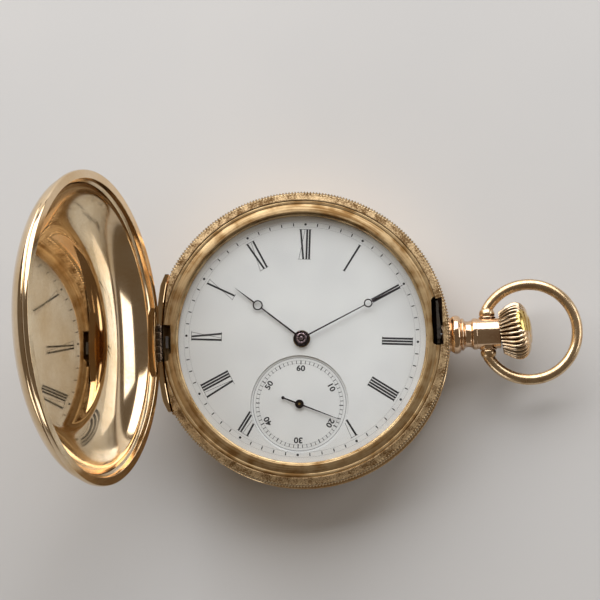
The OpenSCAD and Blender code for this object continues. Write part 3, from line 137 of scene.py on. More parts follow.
def metalMaterial(name, bright, dull, low, high, patch, grain, depth, stretch=(1, 1, 1), rings=None,
                  speck=0.35, groove=None, flank=0.0):
    # A bare metal: patches of dull colour, roughness from low to high, and fine grain as bump, in mm.
    # With rings, the grain runs round the Z axis. A colour for the flute bottoms is painted shade, laid on by
    # each point's depth;
    # flank is the roughness that the side of the lid has on top of its middle's.
    material, tree, shader, place = startMaterial(name, bright, {"Metallic": 1.0})
    worn = spread(tree, noiseOf(tree, place, patch), 0.38, 0.72)
    if rings:
        around = roundCoordinates(tree, place, *rings)
        fine = addNode(tree, "TexNoise", {"Scale": 1.0, "Detail": 2.0, "Vector": around}).outputs["Fac"]
    else:
        fine = noiseOf(tree, place, grain, 2.0, stretch)
    mixed = reckon(tree, "MULTIPLY_ADD", spread(tree, fine, 0.32, 0.68), speck, worn)
    share = spread(tree, mixed, 0.1 + 0.3 * (speck > 0.5), 1.25)
    colour = blendColour(tree, share, bright, dull)
    rough = spread(tree, mixed, 0.1, 1.3, low, high)
    # Painted shade: the flute bottoms darken by the depth each point has stored
    if groove:
        sunk = addNode(tree, "Attribute", {"attribute_name": "groove"}).outputs["Fac"]
        colour = blendColour(tree, sunk, colour, groove)
    if flank:
        reach = addNode(tree, "Attribute", {"attribute_name": "reach"}).outputs["Fac"]
        rough = reckon(tree, "ADD", rough, spread(tree, reach, 18.0, 23.0, 0.0, flank))
    tree.links.new(colour, shader.inputs["Base Color"])
    tree.links.new(rough, shader.inputs["Roughness"])
    addBump(tree, shader, fine, depth)
    return material


# 18 carat yellow gold, buffed: near mirror, with soft handling marks
polishedGold = metalMaterial("yellowGoldBuffed", "#E8CBA0", "#D0A56E", 0.05, 0.17, 7, 0.3, 0.0008)
# The same gold inside the lid, kept from handling: a cleaner mirror
mirrorGold = metalMaterial("yellowGoldMirror", "#E8D1B0", "#D8B88A", 0.025, 0.06, 9, 0.5, 0.0003,
                           flank=0.08)
# Gold stoned flat and left frosted: brown gold, dull, with a coarse grain that breaks up the light
satinGold = metalMaterial("yellowGoldStoned", "#C6AC84", "#735736", 0.54, 0.70, 2.0, 0.22, 0.015, speck=0.9)
# Gold turned in a lathe: fine rings that catch light as streaks
turnedGold = metalMaterial("yellowGoldTurned", "#C0A57B", "#86653C", 0.40, 0.54, 3, 0.2, 0.02,
                           rings=(0.30, 0.5, 0.3), speck=0.8)
# Knurled edge in bright gold; the gaps between its reeds are darkened with painted shade
reedGold = metalMaterial("yellowGoldKnurled", "#F2DCB4", "#DDBB88", 0.16, 0.30, 1.2, 0.2, 0.002,
                         groove="#4A3018")
# The crown's gold, yellow on its ridges and brown in the flutes between them, where the brown is painted
# shade
crownGold = metalMaterial("yellowGoldFluted", "#EFD8B8", "#CDA878", 0.16, 0.32, 1.6, 0.25, 0.002,
                          groove="#3E2812")
# The patch of the crown that the thumb presses: its flutes rubbed smooth, and its deeper yellow a painted
# highlight on the upper side
rubbedHighlightGold = metalMaterial("yellowGoldRubbedHighlight", "#E3C67E", "#C9A452", 0.16, 0.28, 1.5, 0.3, 0.001)
# Rose gold of the pendant, buffed bright
roseGold = metalMaterial("roseGoldBuffed", "#EACCAA", "#CFA783", 0.13, 0.22, 5, 0.4, 0.0004)
# The bow's gold, dulled all over by the chain and the hand
bowGold = metalMaterial("yellowGoldHandled", "#E6CDA6", "#B8946A", 0.22, 0.34, 2.5, 0.3, 0.0015, speck=0.5)
# Spring steel, ground and polished along its length
springSteel = metalMaterial("springSteelPolished", "#A9ABAE", "#6E6F73", 0.14, 0.30, 2, 0.08, 0.003,
                            (1, 6, 1))
# The same steel at the catch, dark with old oil but for its rubbed edge
oiledSteel = metalMaterial("springSteelOiled", "#8C877F", "#3A342E", 0.2, 0.42, 1.5, 0.1, 0.003)
# The walls and floor of the catch's slot, coloured near black: painted shade in the slot
slotShadeGold = metalMaterial("yellowGoldSlotShade", "#2E2018", "#100B09", 0.3, 0.5, 1.5, 0.1, 0.003)
# Old oiled steel of the hinge, dark in its corners
hingeSteel = metalMaterial("hingeSteelOiled", "#6A5A4A", "#1E1815", 0.2, 0.45, 0.7, 0.25, 0.01)
# Steel heated to a purple brown and left so: dark, with a thin oxide gloss
bluedSteel = metalMaterial("handSteelHeated", "#33272C", "#1C1A1F", 0.18, 0.34, 1.5, 0.15, 0.002)
# The boss of the hands, heated further and rubbed: purple brown with lighter edges
oxideSteel = metalMaterial("bossSteelHeated", "#8F7C7E", "#33282C", 0.24, 0.4, 0.6, 0.2, 0.002)
# Brass, frosted and gilt by mercury: pale matt yellow
giltBrass = metalMaterial("brassFrostedGilt", "#D9BE7E", "#B9995A", 0.32, 0.48, 5, 0.09, 0.006)
# Brass wheels, ground flat and circular brushed
wheelBrass = metalMaterial("brassBrushedGilt", "#DDBE74", "#B7934E", 0.18, 0.34, 4, 0.1, 0.004)
# Heads of the bridge screws, flat polished steel
screwSteel = metalMaterial("screwSteelFlatPolished", "#9FA3AA", "#5C6068", 0.08, 0.2, 2, 0.1, 0.002)


def cloudColour(tree, shader, place, sizes, levels, first, second):
    # A base colour in soft clouds of two colours; sizes go to the noise and levels to its spread.
    share = spread(tree, noiseOf(tree, place, *sizes), *levels)
    tree.links.new(blendColour(tree, share, first, second), shader.inputs["Base Color"])


def enamelMaterial():
    # Vitreous enamel fired on copper: milky white under a clear gloss, with faint cloudiness.
    material, tree, shader, place = startMaterial("vitreousEnamelFired", "#E4E4E1", {
        "Roughness": 0.32, "IOR": 1.52, "Coat Weight": 0.6, "Coat Roughness": 0.04})
    cloudColour(tree, shader, place, (9.0, 2.0), (0.35, 0.75), "#E6E6E3", "#DCDCDA")
    addBump(tree, shader, noiseOf(tree, place, 5.0, 1.0), 0.004)
    return material


def inkMaterial(name, colour, thin):
    # Ceramic paint fired into the enamel: thin strokes let some white through.
    material, tree, shader, place = startMaterial(name, colour, {"Roughness": 0.35, "Coat Weight": 0.4})
    cloudColour(tree, shader, place, (0.5, 2.0), (0.55, 0.8, 0.0, 0.5), colour, thin)
    return material


def rubyMaterial():
    # Synthetic corundum, polished: deep pink red and glassy.
    material, tree, shader, place = startMaterial("rubySyntheticPolished", "#A81F3E", {
        "Roughness": 0.06, "IOR": 1.77, "Transmission Weight": 0.3})
    cloudColour(tree, shader, place, (0.4,), (0.3, 0.7), "#B3264A", "#861230")
    return material


def crystalMaterial():
    # Thin mineral glass: clear, with a sheen at the edge; rays from lamps pass straight through to the dial.
    material, tree, shader, place = startMaterial("mineralGlassPolished", "#FDFEFE", {
        "Roughness": 0.0, "IOR": 1.45, "Transmission Weight": 1.0})
    smear = spread(tree, noiseOf(tree, place, 6.0), 0.4, 0.8, 0.0, 0.02)
    tree.links.new(smear, shader.inputs["Roughness"])
    clear = addNode(tree, "BsdfTransparent", {"Color": linearColour("#FBFCFC")})
    path = addNode(tree, "LightPath")
    passes = reckon(tree, "MAXIMUM", path.outputs["Is Shadow Ray"], path.outputs["Is Diffuse Ray"])
    mix = addNode(tree, "MixShader", {0: passes, 1: shader.outputs[0], 2: clear.outputs[0]})
    out = [n for n in tree.nodes if n.type == "OUTPUT_MATERIAL"][0]
    tree.links.new(mix.outputs[0], out.inputs["Surface"])
    return material


enamel = enamelMaterial()
blackInk = inkMaterial("ceramicPaintBlack", "#17171B", "#3A3A40")
greyInk = inkMaterial("ceramicPaintThin", "#8A888A", "#A6A4A4")
ruby = rubyMaterial()
glass = crystalMaterial()
print("materials made")


# Surfaces

def pick(shape, *keys):
    # Several values of a piece's dictionary, in the order asked for.
    return [shape[key] for key in keys]


def addObject(name, data):
    # A new object for a mesh, a figure, a lamp or the camera, linked to the scene.
    thing = bpy.data.objects.new(name, data)
    bpy.context.scene.collection.objects.link(thing)
    return thing


def pointsOf(piece):
    # A piece's vertices in mm, (count, 3).
    flat = np.zeros(len(piece.data.vertices) * 3)
    piece.data.vertices.foreach_get("co", flat)
    return flat.reshape(-1, 3) / mm


def faceVectors(piece, kind):
    # The centre, in metres, or the normal of each face, (count, 3).
    flat = np.zeros(len(piece.data.polygons) * 3)
    piece.data.polygons.foreach_get(kind, flat)
    return flat.reshape(-1, 3)


def paintFaces(piece, index, *materials):
    # Adds materials after the piece's first one, and gives each face one of them by its number.
    for material in materials:
        piece.data.materials.append(material)
    piece.data.polygons.foreach_set("material_index", index.astype(np.int32))


def markPoints(piece, name, values):
    # Stores one number per vertex for the piece's material to read.
    layer = piece.data.attributes.new(name, "FLOAT", "POINT")
    layer.data.foreach_set("value", values.astype(np.float32))


def softProfile(corners, radius, steps, closed=True):
    # Rounds a profile's corners: between a point before and a point after each corner runs the curve
    # (1-t)^2 A + 2t(1-t) P + t^2 B, with both points at most radius, or 0.45 of the side, from the corner P.
    p = array(corners, float)
    before, after = np.roll(p, 1, 0) - p, np.roll(p, -1, 0) - p
    lb, la = np.linalg.norm(before, axis=1), np.linalg.norm(after, axis=1)
    a = p + before / lb[:, None] * minimum(radius, 0.45 * lb)[:, None]
    b = p + after / la[:, None] * minimum(radius, 0.45 * la)[:, None]
    t = linspace(0, 1, steps)[None, :, None]
    curve = (1 - t) ** 2 * a[:, None] + 2 * t * (1 - t) * p[:, None] + t ** 2 * b[:, None]
    if closed:
        return curve.reshape(-1, 2)
    return np.vstack([p[:1], curve[1:-1].reshape(-1, 2), p[-1:]])


def turned(profile, angles, shape=None):
    # Turns (radius, height) pairs about Z: x = r cos a, y = r sin a, z = height.
    # shape(r, z, a) may change the radius, so a rim can be cut flat or toothed.
    profile = np.asarray(profile, float)
    r = profile[:, 0][:, None] + 0 * angles[None, :]
    z = profile[:, 1][:, None] + 0 * angles[None, :]
    if shape is not None:
        r = shape(r, z, np.broadcast_to(angles[None, :], r.shape))
    return stack([r * cos(angles), r * sin(angles), z], -1)


def wholeTurn(count):
    # Evenly spaced angles round a full circle, in radians.
    return linspace(0, 2 * pi, count, endpoint=False)


def evenAngles(count, extra=()):
    # Even steps round the circle, with a close pair of steps at each extra angle in degrees.
    base = wholeTurn(count)
    pairs = radians([e + d for e in extra for d in (-0.03, 0.03)]) % (2 * pi)
    return np.unique(np.round(np.concatenate([base, pairs]), 7))


def sheetOf(grid, wrapRows=False, wrapColumns=True):
    # A grid of points, (rows, columns, 3), as points and quads, closed round on a wrapped side.
    rows, columns = grid.shape[:2]
    i, j = np.meshgrid(arange(rows - (not wrapRows)), arange(columns - (not wrapColumns)), indexing="ij")
    i2, j2 = (i + 1) % rows, (j + 1) % columns
    corners = [i * columns + j, i * columns + j2, i2 * columns + j2, i2 * columns + j]
    return grid.reshape(-1, 3), stack(corners, -1).reshape(-1, 4)


def alongX(points):
    # Lays a turned form along +X: its height becomes x, at the pendant's level.
    return stack([points[..., 2], points[..., 1], pendantZ - points[..., 0]], -1)


def alongY(points, x, z, flip=1):
    # Lays a turned form along Y: its height becomes y, or -y when flip is -1.
    return stack([x + points[..., 0], flip * points[..., 2], z + points[..., 1]], -1)


def turnAboutPin(points, degrees, fromZ, toZ):
    # Turns points about the lid's pin: x' = x cos a + z sin a, z' = -x sin a + z cos a, with z counted from
    # the pin at fromZ before the turn and put back at toZ after it.
    a = radians(degrees)
    x, z = points[..., 0] + hingeX, points[..., 2] - fromZ
    return stack([x * cos(a) + z * sin(a) - hingeX, points[..., 1], -x * sin(a) + z * cos(a) + toZ], -1)


def openLid(points):
    # From the lid's own frame, where its lip lies on z = 0, to its open place.
    return turnAboutPin(points, -lidOpen, -pinLift, rimZ + pinLift)


def shutLid(points):
    # The way back, from the open place to the lid's own frame.
    return turnAboutPin(points, lidOpen, rimZ + pinLift, -pinLift)


def turnDial(points, centre=(0.0, 0.0)):
    # Moves points from a centre on the dial to their place, with the dial's own turn.
    x, y = points[..., 0] + centre[0], points[..., 1] + centre[1]
    c, s = cos(caseTurn), sin(caseTurn)
    return stack([x * c - y * s, x * s + y * c, points[..., 2]], -1)


def crescent(y, near, far, low, high, soft):
    # A wall along y with a softened section, from near to far in x and from low to high in z.
    unit = softProfile([[0, 0], [1, 0], [1, 1], [0, 1]], soft, 3)
    x = near[None, :] + unit[:, 0][:, None] * (far - near)[None, :]
    z = low + unit[:, 1][:, None] * (high - low) + 0 * x
    return stack([x, y[None, :] + 0 * x, z], -1)


def lathe(corners, soft, steps, count):
    # An open profile with softened corners, turned about Z.
    return sheetOf(turned(softProfile(corners, soft, steps, False), evenAngles(count)))


def makePiece(name, sheets, material, body, stands=(), crease=38,
              weighted=True):
    # Joins sheets of points and faces into one mesh piece, merged, smooth, and sharp past the crease angle.
    points, faces, start = [], [], 0
    for p, f in sheets:
        points.append(np.asarray(p, float).reshape(-1, 3))
        faces += [[int(v) + start for v in face] for face in f]
        start += len(points[-1])
    mesh = bpy.data.meshes.new(name)
    mesh.from_pydata((np.vstack(points) * mm).tolist(), [], faces)
    work = bmesh.new()
    work.from_mesh(mesh)
    bmesh.ops.remove_doubles(work, verts=work.verts, dist=1e-7)
    bmesh.ops.dissolve_degenerate(work, edges=work.edges, dist=1e-8)
    bmesh.ops.recalc_face_normals(work, faces=work.faces)
    if work.calc_volume(signed=True) < -1e-13:
        bmesh.ops.reverse_faces(work, faces=work.faces)
    work.to_mesh(mesh)
    work.free()
    mesh.shade_smooth()
    mesh.set_sharp_from_angle(angle=radians(crease))
    mesh.materials.append(material)
    piece = addObject(name, mesh)
    if weighted:
        modifier = piece.modifiers.new("weightedNormal", "WEIGHTED_NORMAL")
        modifier.keep_sharp = True
    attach(piece, body)
    if stands:
        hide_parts(*stands)
    return piece


def rod(radius, length, edge, steps):
    # A rod about Z with rounded ends, from -length/2 to length/2.
    h = length / 2
    return lathe([[0, -h], [radius, -h], [radius, h], [0, h]], edge, 4, steps)


# Case

caseShape = {"reeds": 300, "reedDepth": 0.30, "reedFoot": 26.6, "reliefX": 25.65, "boreFoot": 8.05,
             "bore": 25.35, "slot": (-2.2, 6.4, 25.7), "slotSides": (22.6, 26.2), "slotFloor": 7.0,
             "notch": (3.4, 25.4)}
galleryShape = {"radius": 54.7, "out": 26.5, "wall": 1.1, "slit": 0.3, "high": 3.0, "half": 7.42, "tip": 12.6,
                "tipRadius": 27.6, "step": 1.4, "stepHigh": 1.6}
hingeShape = {"knuckles": 5, "radius": 0.75, "width": 1.3, "gap": 0.06}
galleryCentre = galleryShape["radius"] - galleryShape["out"]


def galleryReach(angles, radius):
    # Distance from the case's axis to the flat arc of the hinge gallery, by direction.
    c = galleryCentre * cos(angles)
    return c + sqrt(c ** 2 + radius ** 2 - galleryCentre ** 2)


def slotWall(angles):
    # Distance to the flat outer wall of the catch slot or of the hinge notch, and 0 elsewhere.
    y0, y1, x = caseShape["slot"]
    half, notchX = caseShape["notch"]
    t = np.tan(angles) * cos(angles) / np.abs(cos(angles))
    right = (cos(angles) > 0.5) & (t * x > y0) & (t * x < y1)
    left = (cos(angles) < -0.5) & (np.abs(t * notchX) < half)
    return where(right, x, where(left, notchX, 0)) / np.abs(cos(angles))


def endsOf(y, way, x):
    # Directions of a slot's end and of a few steps into it, so that its wall stands square.
    return list(np.degrees(np.arctan2(y + way * array([0, 0.02, 0.12, 0.25, 0.45, 0.7]), x)))


def hingeEnds(half, x):
    # Directions of both ends of a cut at the hinge.
    a = np.degrees(np.arctan2(half, x))
    return [180 - a, 180 + a]


def slotAngles(count, y0, y1, x):
    # Even steps, with close ones at the catch's slot and at the hinge notch.
    return evenAngles(count, endsOf(y0, 1, x) + endsOf(y1, -1, x) + hingeEnds(*caseShape["notch"]))


def bandSection():
    # The band's section, outer and inner side: the lower bead, a waist that hollows as |2t - 1|^2.2, the seat
    # of the reeded ring and the rim, then the bore back down.
    low, rim = backTop, rimZ
    t = linspace(0, 1, 15)
    waist = stack([25.9 + 0.6 * np.abs(2 * t - 1) ** 2.2, low + 1.3 + t * (rim - low - 2.45)], 1)
    lower = softProfile([[26.0, low], [26.85, low], [27.0, low + 0.2], [27.0, low + 0.27], [27.0, low + 0.33],
                         [27.0, low + 0.9], [26.85, low + 1.1], [26.5, low + 1.2], [26.4, low + 1.3]],
                        0.1, 3, False)
    upper = softProfile([[26.5, 11.1], [26.4, 11.2], [26.42, 11.97], [26.42, 12.03], [26.42, rim - 0.2],
                         [26.36, rim - 0.13], [25.6, rim - 0.03]], 0.05, 3, False)
    inner = softProfile([[25.5, rim], [25.3, rim], [25.3, 10.6], [24.3, 10.6], [24.3, 8.0], [22.9, 8.0],
                         [22.9, 7.4], [24.3, 7.4], [24.3, 3.1], [25.3, 3.1], [25.3, low], [25.6, low]],
                        0.08, 3, False)
    return np.vstack([lower, waist[1:-1], upper]), inner


def buildBand():
    # The section turned round the axis as one closed ring, with its finishes given by place and painted shade
    # in the catch's slot.
    outer, inner = bandSection()
    profile = np.vstack([outer, inner])
    isInner = (arange(len(profile)) >= len(outer))[:, None]
    radius, step, stepHigh, high, slit = pick(galleryShape, "radius", "step", "stepHigh", "high", "slit")

    def shape(r, z, a):
        # Slot and notch are cut from the bore, and both galleries and the covers' relief from outside
        wall = slotWall(a)
        r = where(isInner & (z > caseShape["boreFoot"]) & (wall > 0), maximum(r, wall), r)
        arc = galleryReach(a, radius - where(z > rimZ - stepHigh, step, 0.0))
        mirrored = galleryReach(a, radius - where(z < backTop + stepHigh, step, 0.0))
        facing = cos(a) < -0.8
        x = caseShape["reliefX"]
        atRim = (z > rimZ - slit) | (z < backTop + slit)
        relief = facing & (np.abs(x * np.tan(a)) < hingeHalf) & atRim
        r = where(relief, minimum(r, x / np.abs(cos(a))), r)
        r = where(facing & (z > rimZ - high), minimum(r, arc), r)
        return where(facing & (z < backTop + high), minimum(r, mirrored), r)

    y0, y1, x = caseShape["slot"]
    angles = slotAngles(360, y0, y1, x)
    band = makePiece("caseBand", [sheetOf(turned(profile, angles, shape), True)], polishedGold, "case",
                     ["case_middle"])
    centre, normal = faceVectors(band, "center") / mm, faceVectors(band, "normal")
    x, y, z = centre.T
    reach = hypot(x, y)
    index = where((normal[:, 2] > 0.5) & (z > 12), 1, where(reach < caseShape["bore"], 2, 0))
    near, far = caseShape["slotSides"]
    inSlot = (x > near) & (y > y0) & (y < y1) & (z > caseShape["slotFloor"]) & (reach < far)
    # Painted shade: the slot's walls and floor get the near-black gold
    index = where(inSlot & ((normal[:, 2] < 0.5) | (z < 11)), 3, index)
    paintFaces(band, index, satinGold, turnedGold, slotShadeGold)


def buildReededRing():
    # A section turned round, its radius cut by a clipped triangle wave, one wave to a reed.
    reeds, depth, foot = pick(caseShape, "reeds", "reedDepth", "reedFoot")
    section = softProfile([[26.2, 11.2], [26.9, 11.2], [27.0, 11.35], [27.0, rimZ - 0.42],
                           [26.74, rimZ - 0.18], [26.2, rimZ - 0.10]], 0.05, 3)

    def teeth(r, z, a):
        wave = np.abs(((a * reeds / (2 * pi)) % 1) * 2 - 1)           # 0 at a tooth, 1 in a gap
        cut = depth * clip(wave * 1.5 - 0.25, 0, 1) * (r > foot)
        arc = galleryReach(a, galleryShape["radius"] - galleryShape["step"])
        return where(cos(a) < -0.8, minimum(r - cut, maximum(arc, caseShape["bore"])), r - cut)

    angles = wholeTurn(reeds * 6)
    ring = makePiece("reededRing", [sheetOf(turned(section, angles, teeth), True)], reedGold, "case",
                     ["case_middle"], crease=50)
    points = pointsOf(ring)
    reach = hypot(points[:, 0], points[:, 1])
    # Painted shade: how deep each point lies in a gap between reeds, for the darker colour there
    markPoints(ring, "groove", clip((26.97 - reach) / depth, 0, 1) * (reach > foot))
    paintFaces(ring, faceVectors(ring, "normal")[:, 2] > 0.92, satinGold)


def gallerySection(y, top, flip):
    # A stretch of the crescent wall at a hinge: a rounded section carried along the flat arc and cut by the
    # circle of its tips. Flip -1 mirrors it to the back.
    arc, tips, wall, high = pick(galleryShape, "radius", "tipRadius", "wall", "high")
    outer = minimum(sqrt(arc ** 2 - y ** 2) - galleryCentre, sqrt(tips ** 2 - y ** 2))
    inner = minimum(sqrt((arc - wall) ** 2 - y ** 2) - galleryCentre, outer - 0.02)
    grid = crescent(y, -inner, -outer, rimZ - high, top, 0.12)
    if flip < 0:
        grid[..., 2] = rimZ + backTop - grid[..., 2]
    points, faces = sheetOf(grid, True, False)
    rows, columns = grid.shape[:2]
    caps = [arange(rows) * columns, arange(rows)[::-1] * columns + columns - 1]
    return points, list(faces) + [list(c) for c in caps]


def buildGallery():
    # On front and back: two crescent tips, and a stretch between them that is lower by the slit.
    half, tip = pick(galleryShape, "half", "tip")
    sheets = []
    for flip in (1, -1):
        for side in (1, -1):
            sheets.append(gallerySection(side * linspace(half, tip, 24), rimZ, flip))
        sheets.append(gallerySection(linspace(-half, half, 40), rimZ - galleryShape["slit"], flip))
    makePiece("hingeGallery", sheets, polishedGold, "case", ["case_middle"])


def knuckleRow(part, z):
    # Every second knuckle of a hinge along Y; part 0 is the case's and part 1 the cover's.
    count, wide = pick(hingeShape, "knuckles", "width")
    points, faces = rod(hingeShape["radius"], wide - hingeShape["gap"], 0.08, 36)
    points = alongY(points, -hingeX, z)
    return [(points + array([0, (i - (count - 1) / 2) * wide, 0]), faces) for i in range(part, count, 2)]


buildBand()
buildReededRing()
buildGallery()
makePiece("caseKnuckles", knuckleRow(0, rimZ + pinLift) + knuckleRow(0, backTop - pinLift), hingeSteel,
          "case", ["case_middle"])
print("case made")


# Covers

coverShape = {"outer": 26.9, "inner": 25.4, "dish": 24.9, "edge": 1.25, "foot": 26.3, "footHigh": 1.5}
lidShape = {"height": 7.38, "floor": 6.8, "sag": 0.14, "flat": 12.0, "inside": 16.0, "slope": 1.15}
backShape = {"height": 2.95, "flat": 15.0, "sheet": 0.6, "crease": 0.77}
seatShape = {"half": 11.2, "wall": 25.5, "radius": 38.0, "centre": 62.1, "high": 1.3}
coverAngles = evenAngles(384, hingeEnds(hingeHalf, hingeX))


def coverLip():
    # From the end of a cover's inner face, down and round the lip, to the foot of its back.
    inner, out, foot, footHigh = pick(coverShape, "inner", "outer", "foot", "footHigh")
    dish, edge = pick(coverShape, "dish", "edge")
    return softProfile([[dish, edge], [inner - 0.3, 1.15], [inner, 0.95], [inner, 0], [out - 0.08, 0],
                        [out, 0.2], [out, 0.7], [out - 0.12, 0.92], [foot, 1.05], [foot - 0.15, 1.2],
                        [foot, 1.35], [foot, footHigh]], 0.09, 4, False)


def coverSide(a, flat, wide, low, top, k, m):
    # A cover's side: r = flat + (wide - flat) sin(a)^k, z = low + (top - low) cos(a)^m
    return stack([flat + (wide - flat) * sin(a) ** k, low + (top - low) * cos(a) ** m], 1)


def wholeCover(inner, shape, steps, k, m):
    # Half section of a cover: its inner face, the lip, and its back to the middle.
    back = coverSide(linspace(pi / 2, 0, steps), shape["flat"], coverShape["foot"],
                     coverShape["footHigh"], shape["height"], k, m)
    return np.vstack([inner, coverLip()[1:-1], back, [[0, shape["height"]]]])


def lidProfile():
    # The lid's inner face is all but flat in the middle and falls to the lip in one curve.
    inside, slope, floor, sag = pick(lidShape, "inside", "slope", "floor", "sag")
    r = linspace(0, inside, 16)
    middle = stack([r, floor - sag * (r / inside) ** 2], 1)
    side = coverSide(linspace(0, pi / 2, 90)[1:], inside, coverShape["dish"], coverShape["edge"],
                     floor - sag, slope, slope)
    return wholeCover(np.vstack([middle, side]), lidShape, 90, slope, slope)


def backProfile():
    # The back cover's inner face is a shallow dish with one soft crease.
    dish, edge, top = coverShape["dish"], coverShape["edge"], backShape["height"] - backShape["sheet"]
    middle, crease = top * 0.82, backShape["crease"] * coverShape["inner"]
    r = linspace(0, dish, 70)
    rim = edge + (middle - edge) * (1 - ((r - crease) / (dish - crease)) ** 2)
    dome = middle + (top - middle) * (1 - (r / crease) ** 2)
    return wholeCover(stack([r, where(r > crease, rim, dome)], 1), backShape, 60, 0.8, 0.62)


def coverReach(r, z, a):
    # The edge beside the hinge is cut back to the pin's line so that it swings clear.
    cut = hingeX / maximum(np.abs(cos(a)), 0.1)
    near = (cos(a) < -0.8) & (np.abs(hingeX * np.tan(a)) < hingeHalf) & (z < 1.2)
    return where(near, minimum(r, cut), r)


def hingeSeat():
    # Crescent seat inside a cover at the hinge: x runs from the cover's wall to an arc.
    half, centre, radius = pick(seatShape, "half", "centre", "radius")
    y = linspace(-half, half, 61)
    wall = -sqrt(seatShape["wall"] ** 2 - y ** 2)
    arc = maximum(-centre + sqrt(radius ** 2 - y ** 2), wall + 0.02)
    return sheetOf(crescent(y, wall, arc, 0, seatShape["high"], 0.08), True, False)


def buildLid():
    # The half section turned round and swung open; reach is a point's radius in the lid's own frame.
    shell = sheetOf(openLid(turned(lidProfile(), coverAngles, coverReach)))
    lid = makePiece("frontLid", [shell], mirrorGold, "lid", ["front_lid"])
    points = shutLid(pointsOf(lid))
    markPoints(lid, "reach", hypot(points[:, 0], points[:, 1]))
    points, faces = hingeSeat()
    makePiece("lidHingeSeat", [(openLid(points), faces)], polishedGold, "lid", ["front_lid"])
    knuckles = [(openLid(p), f) for p, f in knuckleRow(1, -pinLift)]
    makePiece("lidKnuckles", knuckles, hingeSteel, "lid", ["front_lid"])


def buildBackCover():
    # Made like the lid, and mirrored to the case's lower side, shut.
    def under(points):
        # z' = -z, moved down past the hinge's pin
        return points * array([1, 1, -1]) + array([0, 0, backTop - 2 * pinLift])
    shell = sheetOf(under(turned(backProfile(), coverAngles, coverReach)))
    makePiece("backCover", [shell], polishedGold, "back", ["back_cover"])
    sheets = [(under(p), f) for p, f in knuckleRow(1, -pinLift) + [hingeSeat()]]
    makePiece("backKnuckles", sheets, hingeSteel, "back", ["back_cover"])


buildLid()
buildBackCover()
print("covers made")


# Bezel and crystal

bezelShape = {"mouthX": 24.2, "mouthWall": 23.75, "mouthCorner": 0.5, "mouthRoom": 0.12, "mouthFoot": 23.6}
crystalShape = {"radius": 23.3, "edge": 0.4, "foot": 11.32, "thick": 0.75, "rise": 1.15}


def buildBezel():
    # A section turned round, its radius held back at the catch's mouth and at the hinge notch.
    corners = [[22.55, 10.32], [22.55, 11.15], [22.8, 11.3], [23.33, 11.3], [23.33, 12.15], [22.95, 12.22],
               [23.02, 12.32], [23.2, 12.35], [23.7, 12.31], [24.15, 12.24], [24.5, 12.16], [24.6, 12.13],
               [24.72, 12.17], [25.05, 12.18], [25.27, 12.12], [25.27, 10.65], [24.2, 10.6], [24.2, 10.32]]
    x, corner = pick(bezelShape, "mouthX", "mouthCorner")
    y0, y1 = caseShape["slot"][0], caseShape["slot"][1] + bezelShape["mouthRoom"]

    def cut(r, z, a):
        # The mouth at the catch ends in quarter circles
        t = np.tan(a) * x
        mouth = (cos(a) > 0.5) & (t > y0) & (t < y1) | (cos(a) < 0) & (slotWall(a) > 0)
        past = np.abs(r * sin(a) - (y0 + y1) / 2) - (y1 - y0) / 2 + corner
        over = clip(past / corner, 0, 1)
        reach = (bezelShape["mouthWall"] + corner * (1 - sqrt(1 - over ** 2))) / np.abs(cos(a))
        return where(mouth & (r > bezelShape["mouthFoot"]), minimum(r, reach), r)

    grid = turned(softProfile(corners, 0.06, 4), slotAngles(384, y0, y1, x), cut)
    makePiece("bezelRing", [sheetOf(grid, True)], turnedGold, "case", ["bezel"])


def buildCrystal():
    # A dome of even thickness: z = foot + rise (1 - r^2 / R^2)
    radius, foot, thick = pick(crystalShape, "radius", "foot", "thick")
    r = linspace(0, radius - crystalShape["edge"], 40)
    rise = crystalShape["rise"] * (1 - (r / r[-1]) ** 2)
    lower, upper = stack([r, foot + rise], 1), stack([r, foot + thick + rise], 1)
    edge = softProfile([lower[-1], [radius, foot], [radius, foot + thick], upper[-1]], 0.1, 3, False)
    profile = np.vstack([lower[:-1], edge, upper[::-1][1:]])
    makePiece("crystalDome", [sheetOf(turned(profile, evenAngles(256)))], glass, "case", ["crystal"],
              60, False)


buildBezel()
buildCrystal()
print("bezel made")


# Pendant, bow and crown

pendantShape = {"pivotX": 33.8, "bossY": 3.075, "bossRadius": 1.55, "bore": 0.58}
bowShape = {"footY": 4.345, "radius": 8.70, "wire": 1.0, "shoeY": 3.09, "studY": 3.3}
crownShape = {"x": 36.3, "lean": 5.0, "radius": 5.25, "length": 5.15, "flutes": 36, "depth": 0.42,
              "wide": 0.58, "rear": 0.74, "cap": 0.5, "capHigh": 0.45, "bore": (1.6, 3.325),
              "rubX": 4.35, "rubLong": 1.35, "rubWide": 2.3, "rubTurn": 72}


def buildPendant():
    # Collars, neck and sleeve turned about X, and the two bosses for the bow turned about Y.
    corners = [[3.25, 25.5], [3.25, 26.9], [2.95, 27.05], [3.1, 27.25], [3.45, 27.6], [3.52, 28.1],
               [3.42, 28.6], [3.05, 28.95], [2.8, 29.0], [2.95, 29.1], [3.0, 29.3], [2.75, 29.55],
               [2.4, 29.75], [2.35, 30.3], [2.45, 30.85], [2.7, 31.0], [2.85, 31.15], [2.875, 31.35],
               [2.875, 31.8], [2.795, 31.9], [2.795, 36.1], [2.675, 36.2], [2.2, 36.2], [2.175, 32.2],
               [0.86, 31.8]]
    points, faces = lathe(corners, 0.22, 6, 160)
    sheets = [(alongX(points), faces)]
    r, y, bore = pick(pendantShape, "bossRadius", "bossY", "bore")
    points, faces = lathe([[r - 0.05, 0.5], [r, 0.6], [r, y - 0.125], [r - 0.15, y], [bore, y], [bore, 2.0]],
                          0.1, 4, 64)
    for side in (1, -1):
        sheets.append((alongY(points, pendantShape["pivotX"], pendantZ, side), faces))
    makePiece("pendantTube", sheets, roseGold, "case", ["pendant"])


